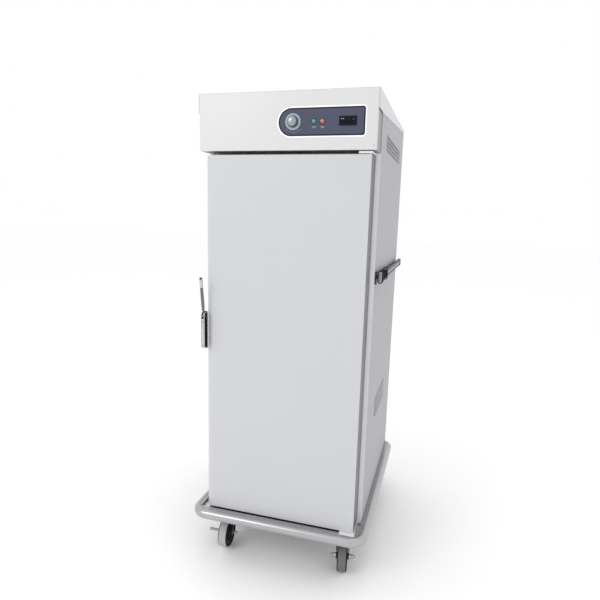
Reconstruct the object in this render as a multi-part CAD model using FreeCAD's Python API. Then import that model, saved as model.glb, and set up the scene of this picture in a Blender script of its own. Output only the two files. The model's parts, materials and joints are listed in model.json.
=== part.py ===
"""Mobile proofing cabinet on casters: an insulated one-door cabinet with a control head.

Frame: +Z up, the front (door) faces -Y, origin on the floor under the middle of the
whole object. Millimetres.
"""
import FreeCAD
import Part
import math
import os

V = FreeCAD.Vector

# ---- driving dimensions ------------------------------------------------------------
HEIGHT = 1875.0            # floor to roof
BODY_W = 666.0             # over the side panels
HEAD_W = 660.0             # control head
DOOR_W = 630.0
BODY_D = 898.0             # control head face to back panel
BUMPER_SIDE = 37.0         # bumper outside the side and back panels
BUMPER_FRONT = 42.0        # bumper ahead of the control head face
BUMPER_CORNER_R = 68.0
BUMPER_ROUND = 18.0        # its half-round section
SHEET = 1.2                # outer sheet metal
LINER_T = 1.0
FLANGE_FRONT = 66.0        # depth of the roof cover's side flanges
FLANGE_REAR = 14.0

HEAD_BOTTOM = 1673.0
DOOR_TOP = 1659.0
DOOR_BOTTOM = 230.0
BUMPER_BOTTOM = 187.0
BUMPER_TOP = 227.0         # the door swings over it
DECK_TOP = 215.0
DECK_T = 3.0
FRAME_BOTTOM = 160.0
WALL = 35.0                # insulated wall
FACE_SETBACK = 98.0        # control head face to the body's front face
DOOR_SETBACK = 6.0
DOOR_T = 80.0
DOOR_CORNER_R = 34.0       # rounded opening edge of the door
GASKET_GAP = 0.4

WHEEL_R = 62.5
TREAD_W = 40.0
CASTER_TRAIL = 38.0
CASTER_X = 258.0
CASTER_INSET = 130.0       # swivel axis behind the head face, and ahead of the back panel
CASTER_PLATE_T = 4.0

HINGE_X = 300.0
HINGE_SETBACK = 26.0       # hinge axis behind the head face
PIN_R = 6.0
RUN_FIT = 0.05             # radial clearance of pins that turn
SHOE_TOP = BUMPER_TOP + 2.3    # lower bracket's shoe lies over the bumper, under the door

TRAY_LEVELS = 15
TRAY_PITCH = 85.0
FIRST_TRAY_Z = 395.0

LATCH_X = -313.0
LATCH_BOTTOM = 916.0
LATCH_TOP = 1063.0
LEVER_LEAN = 9.0           # degrees forward of upright, at rest

RAIL_Z = 1224.0            # side handles

GLAND_X = -230.0
GLAND_Z = 1745.0
GLAND_THREAD_R = 10.0
GLAND_BORE_R = 5.0

PLATE_X0 = -21.5           # control plate and what stands on it
PLATE_X1 = 288.0
PLATE_T = 1.6
KNOB_X = 32.6
LAMPS = {"green": 108.6, "red": 138.6}

FRAME_W = 84.0             # base tubes
FRAME_T = 3.0
FORK_TOP = 141.0
FORK_T = 3.0
AXLE_R = 5.0
AXLE_HALF = 51.0
AXLE_LONG = 82.0           # outer end of the front left axle
CASTERS = {                # side, rear or not, and yaw of each caster
    "fl": (-1, 0, 2.5),
    "fr": (1, 0, 8.0),
    "rl": (-1, 1, 24.0),
    "rr": (1, 1, -31.0),
}

DOOR_SKIN_T = 1.2
DOOR_EDGE_T = 12.0
LATCH_HALF = 8.0
LATCH_PROUD = 26.0
LATCH_PIN_R = 2.5
LEVER_HALF = 3.4

RAIL_HALF_H = 15.0
RAIL_HALF_T = 6.0
COLLAR_HALF_H = 25.0
COLLAR_HALF_T = 10.0
CAP_L = 8.0
LEDGE = 22.0               # tray runners
UPRIGHT_T = 18.0
UPRIGHT_W = 20.0
RACK_SHEET = 1.5
PAN_HALF = 245.0
PAN_D = 480.0
FAN_Z = 1340.0
FAN_R = 82.0

# ---- derived ------------------------------------------------------------------------
HEAD_Y = -(BODY_D + BUMPER_SIDE - BUMPER_FRONT) / 2    # control head face
HALF_BODY = BODY_W / 2
HALF_HEAD = HEAD_W / 2
HALF_DOOR = DOOR_W / 2
FACE_Y = HEAD_Y + FACE_SETBACK
BACK_Y = HEAD_Y + BODY_D
DOOR_Y = HEAD_Y + DOOR_SETBACK
DOOR_BACK_Y = DOOR_Y + DOOR_T
BODY_BOTTOM = DECK_TOP
CAVITY_X = HALF_BODY - WALL
CAVITY_BOTTOM = DECK_TOP + WALL
CAVITY_TOP = HEAD_BOTTOM - WALL
CAVITY_BACK = BACK_Y - WALL
HINGE_Y = HEAD_Y + HINGE_SETBACK
DECK_X = HALF_BODY + 0.4
DECK_Y0 = HEAD_Y + 2.0
DECK_Y1 = BACK_Y + 0.4
PLATE_Z0 = HEAD_BOTTOM + 47.5
PLATE_Z1 = HEAD_BOTTOM + 142.5
PLATE_Y = HEAD_Y - PLATE_T
CONTROL_Z = HEAD_BOTTOM + 96.0
DISPLAY = (197.5, 258.8, CONTROL_Z - 16.2, CONTROL_Z + 15.4)
FORK_IN = TREAD_W / 2 + 3.2
LEVER_PIVOT_Z = LATCH_TOP - 17
LEVER_PIVOT_Y = DOOR_Y - 15.0
RAIL_X = HALF_BODY + 17.0
RAIL_Y0 = FACE_Y + 44.0
RAIL_Y1 = BACK_Y - 22.0
COLLARS = (RAIL_Y0 + 14, RAIL_Y0 + 147)
STANDOFF_Y = RAIL_Y1 - 60
VENTS = (                  # y and z ranges of the louvred panels
    (HEAD_Y + 250.0, HEAD_Y + 740.0, 1700.0, 1760.0),
    (HEAD_Y + 320.0, HEAD_Y + 620.0, 590.0, 680.0),
)
RACK_X = CAVITY_X - 1.0
RACK_Y0 = FACE_Y + 22.0
DUCT_Y = CAVITY_BACK - 52.0
RACK_Y1 = DUCT_Y - 12.0
PAN_Z = FIRST_TRAY_Z - TRAY_PITCH + 1.6
PAN_Y1 = RACK_Y1 - 6
SCREW_SPOTS = (            # y and z on each side panel
    (HEAD_Y + 541, HEAD_BOTTOM + 23),
    (HEAD_Y + 290, HEAD_BOTTOM - 1115),
    (HEAD_Y + 124, HEAD_BOTTOM + 128),
    (BACK_Y - 26, 420.0),
    (BACK_Y - 26, 1640.0),
)


# ---- helpers ------------------------------------------------------------------------
def box(x0, x1, y0, y1, z0, z1):
    return Part.makeBox(x1 - x0, y1 - y0, z1 - z0, V(x0, y0, z0))


def rod(start, axis, radius, length):
    return Part.makeCylinder(radius, length, V(*start), V(*axis))


def tube(start, axis, outer, inner, length):
    return rod(start, axis, outer, length).cut(rod(start, axis, inner, length))


def fuse(shapes):
    return shapes[0].fuse(shapes[1:]).removeSplitter()


def prism(points, vector):
    wire = Part.makePolygon([V(*p) for p in points] + [V(*points[0])])
    return Part.Face(wire).extrude(V(*vector))


def rounded_plan(x0, x1, y0, y1, radius):
    """Closed wire in the z = 0 plane: a rectangle with four equal round corners."""
    diag = radius * (1 - math.sqrt(0.5))
    corners = [
        ((x1 - radius, y0), (x1 - diag, y0 + diag), (x1, y0 + radius)),
        ((x1, y1 - radius), (x1 - diag, y1 - diag), (x1 - radius, y1)),
        ((x0 + radius, y1), (x0 + diag, y1 - diag), (x0, y1 - radius)),
        ((x0, y0 + radius), (x0 + diag, y0 + diag), (x0 + radius, y0)),
    ]
    edges = []
    for i, (a, b, c) in enumerate(corners):
        edges.append(Part.Arc(V(*a, 0), V(*b, 0), V(*c, 0)).toShape())
        after = corners[(i + 1) % 4][0]
        edges.append(Part.makeLine(V(*c, 0), V(*after, 0)))
    return Part.Wire(edges)


def slab(x0, x1, y0, y1, radius, z0, z1):
    plan = Part.Face(rounded_plan(x0, x1, y0, y1, radius))
    plan.translate(V(0, 0, z0))
    return plan.extrude(V(0, 0, z1 - z0))


def hexagon(centre, axis, across, length):
    """Hexagonal prism along X or Z, for bolt heads and nuts."""
    corner = across / math.sqrt(3)
    points = []
    for k in range(6):
        a = math.radians(60 * k + 30)
        u, w = corner * math.cos(a), corner * math.sin(a)
        if axis[0]:
            points.append((centre[0], centre[1] + u, centre[2] + w))
        else:
            points.append((centre[0] + u, centre[1] + w, centre[2]))
    return prism(points, [length * c for c in axis])


def fillet_where(shape, radius, keep):
    return shape.makeFillet(radius, [e for e in shape.Edges if keep(e)])


def along_z(edge):
    return abs(edge.tangentAt(edge.FirstParameter).z) > 0.999


def turned(shape, degrees, centre):
    shape.rotate(V(*centre), V(0, 0, 1), degrees)
    return shape


NODES = {}


def node(name, shape):
    NODES[name] = shape


# ---- body shell ---------------------------------------------------------------------
def side_panel(side):
    """Outer side sheet with a front flange, which is seen beside the narrower door."""
    x = side * HALF_BODY
    inner = x - side * SHEET
    lip = x - side * 22
    sheet = box(min(x, inner), max(x, inner), FACE_Y, BACK_Y, BODY_BOTTOM, HEIGHT - 2)
    low, high = min(lip, x), max(lip, x)
    front = box(low, high, FACE_Y, FACE_Y + SHEET, BODY_BOTTOM, HEIGHT - 2)
    rear = box(low, high, BACK_Y - SHEET, BACK_Y, BODY_BOTTOM, HEIGHT - 2)
    return fuse([sheet, front, rear])


def top_cover():
    """Roof sheet with side flanges that taper to the rear and a rear lip."""
    outer = HALF_BODY + 1.5
    roof = box(-outer, outer, HEAD_Y, BACK_Y, HEIGHT - 1.5, HEIGHT)
    flanges = []
    for side in (-1, 1):
        x = side * outer
        points = [
            (x, HEAD_Y + 1.5, HEIGHT - 1.5),
            (x, BACK_Y, HEIGHT - 1.5),
            (x, BACK_Y, HEIGHT - FLANGE_REAR),
            (x, FACE_Y, HEIGHT - FLANGE_FRONT),
            (x, HEAD_Y + 1.5, HEIGHT - FLANGE_FRONT),
        ]
        flanges.append(prism(points, (-side * 1.4, 0, 0)))
        low, high = sorted((side * (HALF_HEAD + 0.1), x))
        flanges.append(box(low, high, HEAD_Y + 1.5, HEAD_Y + 2.7, HEIGHT - FLANGE_FRONT,
                           HEIGHT - 1.5))
    return fuse([roof] + flanges)


def back_panel():
    inset = 22.5
    sheet = box(-HALF_BODY + inset, HALF_BODY - inset, BACK_Y - 1.2, BACK_Y,
                BODY_BOTTOM, HEIGHT - 2)
    gland_hole = rod((GLAND_X, BACK_Y - 5, GLAND_Z), (0, 1, 0), GLAND_THREAD_R, 10)
    return sheet.cut(gland_hole)


def cable_gland():
    """Inlet for the supply cable; its bore is the interface."""
    body = rod((GLAND_X, BACK_Y - 14, GLAND_Z), (0, 1, 0), GLAND_THREAD_R - 0.2, 14)
    collar = rod((GLAND_X, BACK_Y, GLAND_Z), (0, 1, 0), 13, 6)
    dome = Part.makeCone(11.5, 8, 14, V(GLAND_X, BACK_Y + 6, GLAND_Z), V(0, 1, 0))
    whole = fuse([body, collar, dome])
    return whole.cut(rod((GLAND_X, BACK_Y - 15, GLAND_Z), (0, 1, 0), GLAND_BORE_R, 40))


def inner_liner():
    """Five liner sheets: sides, back, roof and floor of the proofing chamber."""
    x, y0, y1 = CAVITY_X, FACE_Y + 2, CAVITY_BACK
    z0, z1 = CAVITY_BOTTOM, CAVITY_TOP
    t = LINER_T
    return Part.makeCompound([
        box(-x - t, -x, y0, y1, z0 - t, z1 + t),
        box(x, x + t, y0, y1, z0 - t, z1 + t),
        box(-x - t, x + t, y1, y1 + t, z0 - t, z1 + t),
        box(-x, x, y0, y1, z1, z1 + t),
        box(-x, x, y0, y1, z0 - t, z0),
    ])


def insulation():
    """Glass-wool slabs between the liner and the outer sheets."""
    gap = 1.0
    x_in, x_out = CAVITY_X + LINER_T + gap, HALF_BODY - SHEET - gap
    y0, y1 = FACE_Y + 3, CAVITY_BACK + LINER_T + gap
    z0, z1 = CAVITY_BOTTOM - LINER_T - gap, CAVITY_TOP + LINER_T + gap
    back = BACK_Y - SHEET - gap
    low, high = BODY_BOTTOM + gap, HEAD_BOTTOM - gap
    return Part.makeCompound([
        box(-x_out, -x_in, y0, y1, low, high),
        box(x_in, x_out, y0, y1, low, high),
        box(-x_out, x_out, y1, back, low, high),
        box(-x_in, x_in, y0, y1, z1, high),
        box(-x_in, x_in, y0, y1, low, z0),
    ])


def face_frame():
    """Four rails round the door opening; the door seal closes against them."""
    x_in, x_out = CAVITY_X, HALF_BODY - 22.5
    y0, y1 = FACE_Y, FACE_Y + 1.8
    low, high = BODY_BOTTOM, HEAD_BOTTOM - 0.5
    return Part.makeCompound([
        box(-x_out, -x_in, y0, y1, low, high),
        box(x_in, x_out, y0, y1, low, high),
        box(-x_in, x_in, y0, y1, CAVITY_TOP, high),
        box(-x_in, x_in, y0, y1, low, CAVITY_BOTTOM),
    ])


# ---- control head -------------------------------------------------------------------
def header_fascia():
    """Front sheet of the control head with returned edges and the control cut-outs."""
    x = HALF_HEAD
    top = HEIGHT - 1.5
    sheet = box(-x, x, HEAD_Y, HEAD_Y + 1.5, HEAD_BOTTOM, top)
    sides = [box(s * x - (1.5 if s > 0 else 0), s * x + (0 if s > 0 else 1.5),
                 HEAD_Y, HEAD_Y + 14, HEAD_BOTTOM, top) for s in (-1, 1)]
    foot = box(-x, x, HEAD_Y, HEAD_Y + 14, HEAD_BOTTOM, HEAD_BOTTOM + 1.5)
    shell = fuse([sheet, foot] + sides)
    for hole_x, radius in [(KNOB_X, 8.0)] + [(x_lamp, 5.4) for x_lamp in LAMPS.values()]:
        shell = shell.cut(rod((hole_x, HEAD_Y - 1, CONTROL_Z), (0, 1, 0), radius, 4))
    x0, x1, z0, z1 = DISPLAY
    shell = shell.cut(box(x0 + 4, x1 - 4, HEAD_Y - 1, HEAD_Y + 3, z0 + 3, z1 - 3))
    rivet = rod((HALF_HEAD - 9.5, HEAD_Y - 1, HEAD_BOTTOM + 14.5), (0, 1, 0), 2.2, 4)
    return shell.cut(rivet)


def header_chassis():
    """Dark side cheeks and floor of the control head, behind the fascia."""
    x = HALF_HEAD
    y0, y1 = HEAD_Y + 14.2, FACE_Y - 0.2
    cheeks = [box(s * x - (2 if s > 0 else 0), s * x + (0 if s > 0 else 2),
                  y0, y1, HEAD_BOTTOM, HEIGHT - 2) for s in (-1, 1)]
    floor = box(-x, x, y0, y1, HEAD_BOTTOM, HEAD_BOTTOM + 1.5)
    return fuse(cheeks + [floor])


def control_plate():
    """Slate control plate: half-round left end, nearly square right end."""
    r = (PLATE_Z1 - PLATE_Z0) / 2
    mid = (PLATE_Z0 + PLATE_Z1) / 2
    y = PLATE_Y
    c = 5.0
    d = c * (1 - math.sqrt(0.5))
    xc = PLATE_X0 + r
    x1, z0, z1 = PLATE_X1, PLATE_Z0, PLATE_Z1
    edges = [
        Part.Arc(V(xc, y, z1), V(PLATE_X0, y, mid), V(xc, y, z0)).toShape(),
        Part.makeLine(V(xc, y, z0), V(x1 - c, y, z0)),
        Part.Arc(V(x1 - c, y, z0), V(x1 - d, y, z0 + d), V(x1, y, z0 + c)).toShape(),
        Part.makeLine(V(x1, y, z0 + c), V(x1, y, z1 - c)),
        Part.Arc(V(x1, y, z1 - c), V(x1 - d, y, z1 - d), V(x1 - c, y, z1)).toShape(),
        Part.makeLine(V(x1 - c, y, z1), V(xc, y, z1)),
    ]
    plate = Part.Face(Part.Wire(edges)).extrude(V(0, HEAD_Y - PLATE_Y, 0))
    plate = plate.cut(rod((KNOB_X, y - 1, CONTROL_Z), (0, 1, 0), 8.0, 4))
    for x_lamp in LAMPS.values():
        plate = plate.cut(rod((x_lamp, y - 1, CONTROL_Z), (0, 1, 0), 5.4, 4))
    a, b, e, f = DISPLAY
    return plate.cut(box(a + 4, b - 4, y - 1, y + 3, e + 3, f - 3))


def thermostat_body():
    """Capillary thermostat behind the plate; its spindle carries the knob."""
    case = box(KNOB_X - 19, KNOB_X + 19, HEAD_Y + 2, HEAD_Y + 30, CONTROL_Z - 24, CONTROL_Z + 24)
    spindle = rod((KNOB_X, PLATE_Y - 14, CONTROL_Z), (0, 1, 0), 3.0, 20)
    neck = rod((KNOB_X, HEAD_Y - 1.4, CONTROL_Z), (0, 1, 0), 7.5, 4)
    return fuse([case, neck, spindle])


def thermostat_knob():
    """Skirted knob with a domed grip, turning on the thermostat's spindle."""
    y = PLATE_Y - 0.6
    profile = [
        (0, 0), (28.5, 0), (28.5, -2.5), (25.5, -4.2), (19.5, -5.6), (18.2, -8.5),
        (17.6, -15.5), (14.5, -19.5), (8.0, -21.4), (0, -22.0),
    ]
    points = [V(KNOB_X + r, y + d, CONTROL_Z) for r, d in profile]
    face = Part.Face(Part.makePolygon(points + [points[0]]))
    knob = face.revolve(V(KNOB_X, y, CONTROL_Z), V(0, 1, 0), 360)
    return knob.cut(rod((KNOB_X, PLATE_Y - 15, CONTROL_Z), (0, 1, 0), 3.0 + RUN_FIT, 16))


def lamp_bezels():
    rings = [tube((x, PLATE_Y - 2.2, CONTROL_Z), (0, 1, 0), 10.5, 7.6, 2.2)
             for x in LAMPS.values()]
    return Part.makeCompound(rings)


def lamp(x):
    """Pilot lamp: a domed lens on a neck that passes through the plate."""
    lens = rod((x, PLATE_Y - 3.6, CONTROL_Z), (0, 1, 0), 7.4, 3.6)
    crown = Part.makeCone(7.4, 4.0, 2.2, V(x, PLATE_Y - 3.6, CONTROL_Z), V(0, -1, 0))
    neck = rod((x, PLATE_Y, CONTROL_Z), (0, 1, 0), 5.2, 22)
    return fuse([lens, crown, neck])


def thermometer():
    """Panel thermometer: a bezel with a sunken face and its case behind the plate."""
    x0, x1, z0, z1 = DISPLAY
    bezel = box(x0, x1, PLATE_Y - 3.0, PLATE_Y, z0, z1)
    bezel = fillet_where(bezel, 2.0, lambda e: abs(e.tangentAt(e.FirstParameter).y) > 0.999)
    case = box(x0 + 4.2, x1 - 4.2, PLATE_Y, HEAD_Y + 42, z0 + 3.2, z1 - 3.2)
    whole = fuse([bezel, case])
    return whole.cut(box(x0 + 5, x1 - 5, PLATE_Y - 4, PLATE_Y - 1.6, z0 + 5, z1 - 5))


# ---- base, bumper and casters -------------------------------------------------------
def bumper_rail():
    """Half-round bumper hoop round the deck, with a flat lip on its inner edge."""
    x = HALF_BODY + BUMPER_SIDE
    hoop = slab(-x, x, HEAD_Y - BUMPER_FRONT, BACK_Y + BUMPER_SIDE, BUMPER_CORNER_R,
                BUMPER_BOTTOM, BUMPER_TOP)
    hoop = fillet_where(hoop, BUMPER_ROUND, lambda e: not along_z(e))
    return hoop.cut(box(-DECK_X - 0.3, DECK_X + 0.3, DECK_Y0 - 0.3, DECK_Y1 + 0.3,
                        BUMPER_BOTTOM - 1, BUMPER_TOP + 1))


def deck_plate():
    """Folded deck sheet inside the bumper; the body stands on it."""
    return box(-DECK_X, DECK_X, DECK_Y0, DECK_Y1, DECK_TOP - DECK_T, DECK_TOP)


def channel(x0, x1, y0, y1, z0, z1, along):
    """Rectangular tube, open at its two ends."""
    t = FRAME_T
    if along == "y":
        hollow = box(x0 + t, x1 - t, y0 - 1, y1 + 1, z0 + t, z1 - t)
    else:
        hollow = box(x0 - 1, x1 + 1, y0 + t, y1 - t, z0 + t, z1 - t)
    return box(x0, x1, y0, y1, z0, z1).cut(hollow)


def base_frame():
    """Welded ladder of tubes under the deck; the casters bolt up to it."""
    x = CASTER_X + 42
    y0, y1 = HEAD_Y + CASTER_INSET - 50, BACK_Y - CASTER_INSET + 50
    low, high = FRAME_BOTTOM, DECK_TOP - DECK_T - 0.1
    bars = [channel(-x, -x + FRAME_W, y0, y1, low, high, "y"),
            channel(x - FRAME_W, x, y0, y1, low, high, "y")]
    for y in (y0, (y0 + y1) / 2 - 20, y1 - 40):
        bars.append(channel(-x + FRAME_W + 0.2, x - FRAME_W - 0.2, y, y + 40, low + 6, high, "x"))
    return Part.makeCompound(bars)


def caster_centre(key):
    sx, rear, _ = CASTERS[key]
    y = BACK_Y - CASTER_INSET if rear else HEAD_Y + CASTER_INSET
    return sx * CASTER_X, y


def caster_plates():
    """Four bolted top plates, each with its king pin."""
    plates = []
    for key in CASTERS:
        x, y = caster_centre(key)
        plate = slab(x - 38, x + 38, y - 48, y + 48, 8, FRAME_BOTTOM - CASTER_PLATE_T, FRAME_BOTTOM)
        pin = rod((x, y, 134), (0, 0, 1), 5.5, FRAME_BOTTOM - CASTER_PLATE_T - 134)
        bolts = [hexagon((x + a * 29, y + b * 38, FRAME_BOTTOM - CASTER_PLATE_T - 5), (0, 0, 1), 12, 5)
                 for a in (-1, 1) for b in (-1, 1)]
        plates.append(fuse([plate, pin] + bolts))
    return Part.makeCompound(plates)


def caster_fork(x, y):
    """Pressed fork: a crown with a raceway ring and two legs down to the axle."""
    crown = slab(x - FORK_IN - FORK_T, x + FORK_IN + FORK_T, y - 29, y + 29, 8,
                 FORK_TOP - 4, FORK_TOP)
    race = rod((x, y, FORK_TOP), (0, 0, 1), 27, 6)
    dome = Part.makeCone(27, 24, 6, V(x, y, FORK_TOP + 6))
    whole = [crown, race, dome]
    for side in (-1, 1):
        x0 = x + side * FORK_IN
        points = [
            (x0, y + 27, FORK_TOP - 1),
            (x0, y - 29, FORK_TOP - 1),
            (x0, y - CASTER_TRAIL - 13, WHEEL_R + 8),
            (x0, y - CASTER_TRAIL - 13, WHEEL_R - 8),
            (x0, y - CASTER_TRAIL - 7, WHEEL_R - 14),
            (x0, y - CASTER_TRAIL + 7, WHEEL_R - 14),
            (x0, y - CASTER_TRAIL + 13, WHEEL_R - 8),
        ]
        whole.append(prism(points, (side * FORK_T, 0, 0)))
    fork = fuse(whole)
    fork = fork.cut(rod((x, y, 130), (0, 0, 1), 5.5 + RUN_FIT, 40))
    axle = rod((x - 60, y - CASTER_TRAIL, WHEEL_R), (1, 0, 0), AXLE_R + RUN_FIT, 120)
    return fork.cut(axle)


def caster_axle(x, y, left_end=AXLE_HALF):
    """Threaded axle with a washer and two nuts outside each fork leg."""
    ya, z = y - CASTER_TRAIL, WHEEL_R
    leg = FORK_IN + FORK_T
    parts = [rod((x - left_end, ya, z), (1, 0, 0), AXLE_R, left_end + AXLE_HALF)]
    for side, end in ((-1, left_end), (1, AXLE_HALF)):
        base = x + side * (leg + 0.05)
        parts.append(rod((base, ya, z), (side, 0, 0), 9.5, 2.0))
        parts.append(hexagon((base + side * 2.0, ya, z), (side, 0, 0), 15, 8))
        parts.append(hexagon((x + side * (end - 11.8), ya, z), (side, 0, 0), 15, 6))
    return fuse(parts)


def long_axle(x, y):
    return caster_axle(x, y, AXLE_LONG)


def caster_tyre(x, y):
    ya, z = y - CASTER_TRAIL, WHEEL_R
    half = TREAD_W / 2
    profile = [
        (47.0, -half + 3), (55.0, -half), (WHEEL_R - 3.5, -half), (WHEEL_R, -half + 3.5),
        (WHEEL_R, half - 3.5), (WHEEL_R - 3.5, half), (55.0, half), (47.0, half - 3),
    ]
    points = [V(x + a, ya, z + r) for r, a in profile]
    face = Part.Face(Part.makePolygon(points + [points[0]]))
    return face.revolve(V(x, ya, z), V(1, 0, 0), 360)


def caster_hub(x, y):
    """Wheel centre: rim, web and boss, bored for the axle."""
    ya, z = y - CASTER_TRAIL, WHEEL_R
    half = TREAD_W / 2
    rim = tube((x - half + 3.5, ya, z), (1, 0, 0), 46.9, 40, TREAD_W - 7)
    web = rod((x - 4, ya, z), (1, 0, 0), 41, 8)
    boss = rod((x - half - 2.8, ya, z), (1, 0, 0), 13, TREAD_W + 5.6)
    hub = fuse([rim, web, boss])
    return hub.cut(rod((x - 40, ya, z), (1, 0, 0), AXLE_R + RUN_FIT, 80))


def casters():
    makers = {"fork": caster_fork, "hub": caster_hub, "tyre": caster_tyre}
    for key, (_, _, yaw) in CASTERS.items():
        x, y = caster_centre(key)
        makers["axle"] = long_axle if key == "fl" else caster_axle
        for part, make in makers.items():
            node(f"caster_{key}_{part}", turned(make(x, y), yaw, (x, y, 0)))


# ---- door ---------------------------------------------------------------------------
def door_outline(inset, radius):
    """Plan of the door between its front and back faces, with a round opening edge."""
    x0, x1 = -HALF_DOOR + inset, HALF_DOOR - inset
    y0, y1 = DOOR_Y + inset, DOOR_BACK_Y
    r = radius - inset
    d = r * (1 - math.sqrt(0.5))
    edges = [
        Part.makeLine(V(x0 + r, y0, 0), V(x1, y0, 0)),
        Part.makeLine(V(x1, y0, 0), V(x1, y1, 0)),
        Part.makeLine(V(x1, y1, 0), V(x0, y1, 0)),
        Part.makeLine(V(x0, y1, 0), V(x0, y0 + r, 0)),
        Part.Arc(V(x0, y0 + r, 0), V(x0 + d, y0 + d, 0), V(x0 + r, y0, 0)).toShape(),
    ]
    return Part.Face(Part.Wire(edges))


def door_block(inset, z0, z1):
    plan = door_outline(inset, DOOR_CORNER_R)
    plan.translate(V(0, 0, z0))
    return plan.extrude(V(0, 0, z1 - z0))


def hinge_bores():
    """Blind pivot bores in the top and bottom of the door."""
    return [rod((HINGE_X, HINGE_Y, DOOR_BOTTOM - 1), (0, 0, 1), PIN_R + RUN_FIT, 26),
            rod((HINGE_X, HINGE_Y, DOOR_TOP - 25), (0, 0, 1), PIN_R + RUN_FIT, 26)]


def door_skin():
    """Outer door sheet: the front and its wrap round the opening edge."""
    outer = door_block(0, DOOR_BOTTOM, DOOR_TOP)
    inner = door_block(DOOR_SKIN_T, DOOR_BOTTOM - 1, DOOR_TOP + 1)
    shell = outer.cut(inner)
    right_side = box(HALF_DOOR - DOOR_SKIN_T - 0.1, HALF_DOOR + 1, DOOR_Y + DOOR_SKIN_T,
                     DOOR_BACK_Y + 1, DOOR_BOTTOM - 1, DOOR_TOP + 1)
    return shell.cut(right_side)


def door_edge_frame():
    """Dark edge profiles: hinge side, top and bottom, notched for the pivots."""
    t = DOOR_EDGE_T
    y1 = DOOR_BACK_Y - 1.5
    inside = door_block(DOOR_SKIN_T + 0.1, DOOR_BOTTOM, DOOR_TOP)
    y0 = DOOR_Y + DOOR_SKIN_T + 0.1
    hinge_side = box(HALF_DOOR - 30, HALF_DOOR, y0, y1, DOOR_BOTTOM + t, DOOR_TOP - t)
    bottom = box(-HALF_DOOR, HALF_DOOR, y0, y1, DOOR_BOTTOM, DOOR_BOTTOM + t)
    top = box(-HALF_DOOR, HALF_DOOR, y0, y1, DOOR_TOP - t, DOOR_TOP)
    right_strip = box(HALF_DOOR - 31, HALF_DOOR, y0, y1, DOOR_BOTTOM, DOOR_TOP)
    allowed = fuse([inside, right_strip])
    bars = [hinge_side, bottom.common(allowed), top.common(allowed)]
    cut_bars = []
    for bar in bars:
        for bore in hinge_bores():
            bar = bar.cut(bore)
        cut_bars.append(bar)
    return Part.makeCompound(cut_bars)


def door_core():
    t = DOOR_EDGE_T + 0.3
    block = door_block(DOOR_SKIN_T + 0.3, DOOR_BOTTOM + t, DOOR_TOP - t)
    return block.common(box(-400, HALF_DOOR - 30.3, DOOR_Y, DOOR_BACK_Y - 1.7, 0, 2000))


def door_liner():
    """Inner door sheet, with a shallow raised field that stiffens it."""
    sheet = box(-HALF_DOOR + DOOR_SKIN_T + 0.1, HALF_DOOR, DOOR_BACK_Y - 1.4, DOOR_BACK_Y,
                DOOR_BOTTOM, DOOR_TOP)
    field = box(-CAVITY_X + 28, CAVITY_X - 28, DOOR_BACK_Y, DOOR_BACK_Y + 5,
                CAVITY_BOTTOM + 28, CAVITY_TOP - 28)
    field = field.makeChamfer(4.0, [e for e in field.Edges
                                    if abs(e.BoundBox.YMin - DOOR_BACK_Y - 5) < 0.01])
    pocket = box(-CAVITY_X + 34, CAVITY_X - 34, DOOR_BACK_Y - 2, DOOR_BACK_Y + 3.6,
                 CAVITY_BOTTOM + 34, CAVITY_TOP - 34)
    return fuse([sheet, field]).cut(pocket)


def door_gasket():
    """Magnetic seal: one mitred hoop between the door and the face frame."""
    y0, y1 = DOOR_BACK_Y + 0.1, FACE_Y - GASKET_GAP
    outer_x, inner_x = HINGE_X - 0.5, HINGE_X - 0.5 - 20
    low, high = CAVITY_BOTTOM - 17, CAVITY_TOP + 13
    hoop = box(-outer_x, outer_x, y0, y1, low, high)
    return hoop.cut(box(-inner_x, inner_x, y0 - 1, y1 + 1, low + 20, high - 20))


def hinge_bracket(top):
    """Corner pivot bracket: an ear under the head or on the deck, and its fixing leg."""
    ear_z0, ear_z1 = (DOOR_TOP + 3, DOOR_TOP + 11) if top else (DECK_TOP, DECK_TOP + 8)
    ear = slab(HINGE_X - 33, HINGE_X + 17, HINGE_Y - 15, FACE_Y - 0.2, 5, ear_z0, ear_z1)
    if top:
        leg = box(HINGE_X - 33, HINGE_X + 17, FACE_Y - 4.2, FACE_Y - 0.2, ear_z0, HEAD_BOTTOM - 0.3)
    else:
        leg = box(HINGE_X - 33, HINGE_X + 17, FACE_Y - 4.2, FACE_Y - 0.2, ear_z0, DECK_TOP + 14)
    parts = [ear, leg]
    if not top:
        step_y = HINGE_Y - 14
        parts.append(box(HINGE_X - 33, HINGE_X + 17, DECK_Y0 + 0.2, step_y, ear_z0, SHOE_TOP))
        parts.append(box(HINGE_X - 38, HINGE_X + 22, DECK_Y0 - 18, step_y, SHOE_TOP - 2, SHOE_TOP))
    bracket = fuse(parts)
    return bracket.cut(rod((HINGE_X, HINGE_Y, ear_z0 - 1), (0, 0, 1), 5.0, 12))


def hinge_brackets():
    return Part.makeCompound([hinge_bracket(True), hinge_bracket(False)])


def hinge_pins():
    """Shouldered pivot pins, riveted into the two brackets."""
    low = fuse([
        rod((HINGE_X, HINGE_Y, DECK_TOP), (0, 0, 1), 5.0, 8),
        rod((HINGE_X, HINGE_Y, DECK_TOP + 8), (0, 0, 1), 10.0, 6.5),
        rod((HINGE_X, HINGE_Y, DECK_TOP + 8), (0, 0, 1), PIN_R, 28),
    ])
    high = fuse([
        rod((HINGE_X, HINGE_Y, DOOR_TOP + 3), (0, 0, 1), 5.0, 8),
        rod((HINGE_X, HINGE_Y, DOOR_TOP + 0.5), (0, 0, 1), 10.0, 2.5),
        rod((HINGE_X, HINGE_Y, DOOR_TOP - 20), (0, 0, 1), PIN_R, 23),
    ])
    return Part.makeCompound([low, high])


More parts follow.
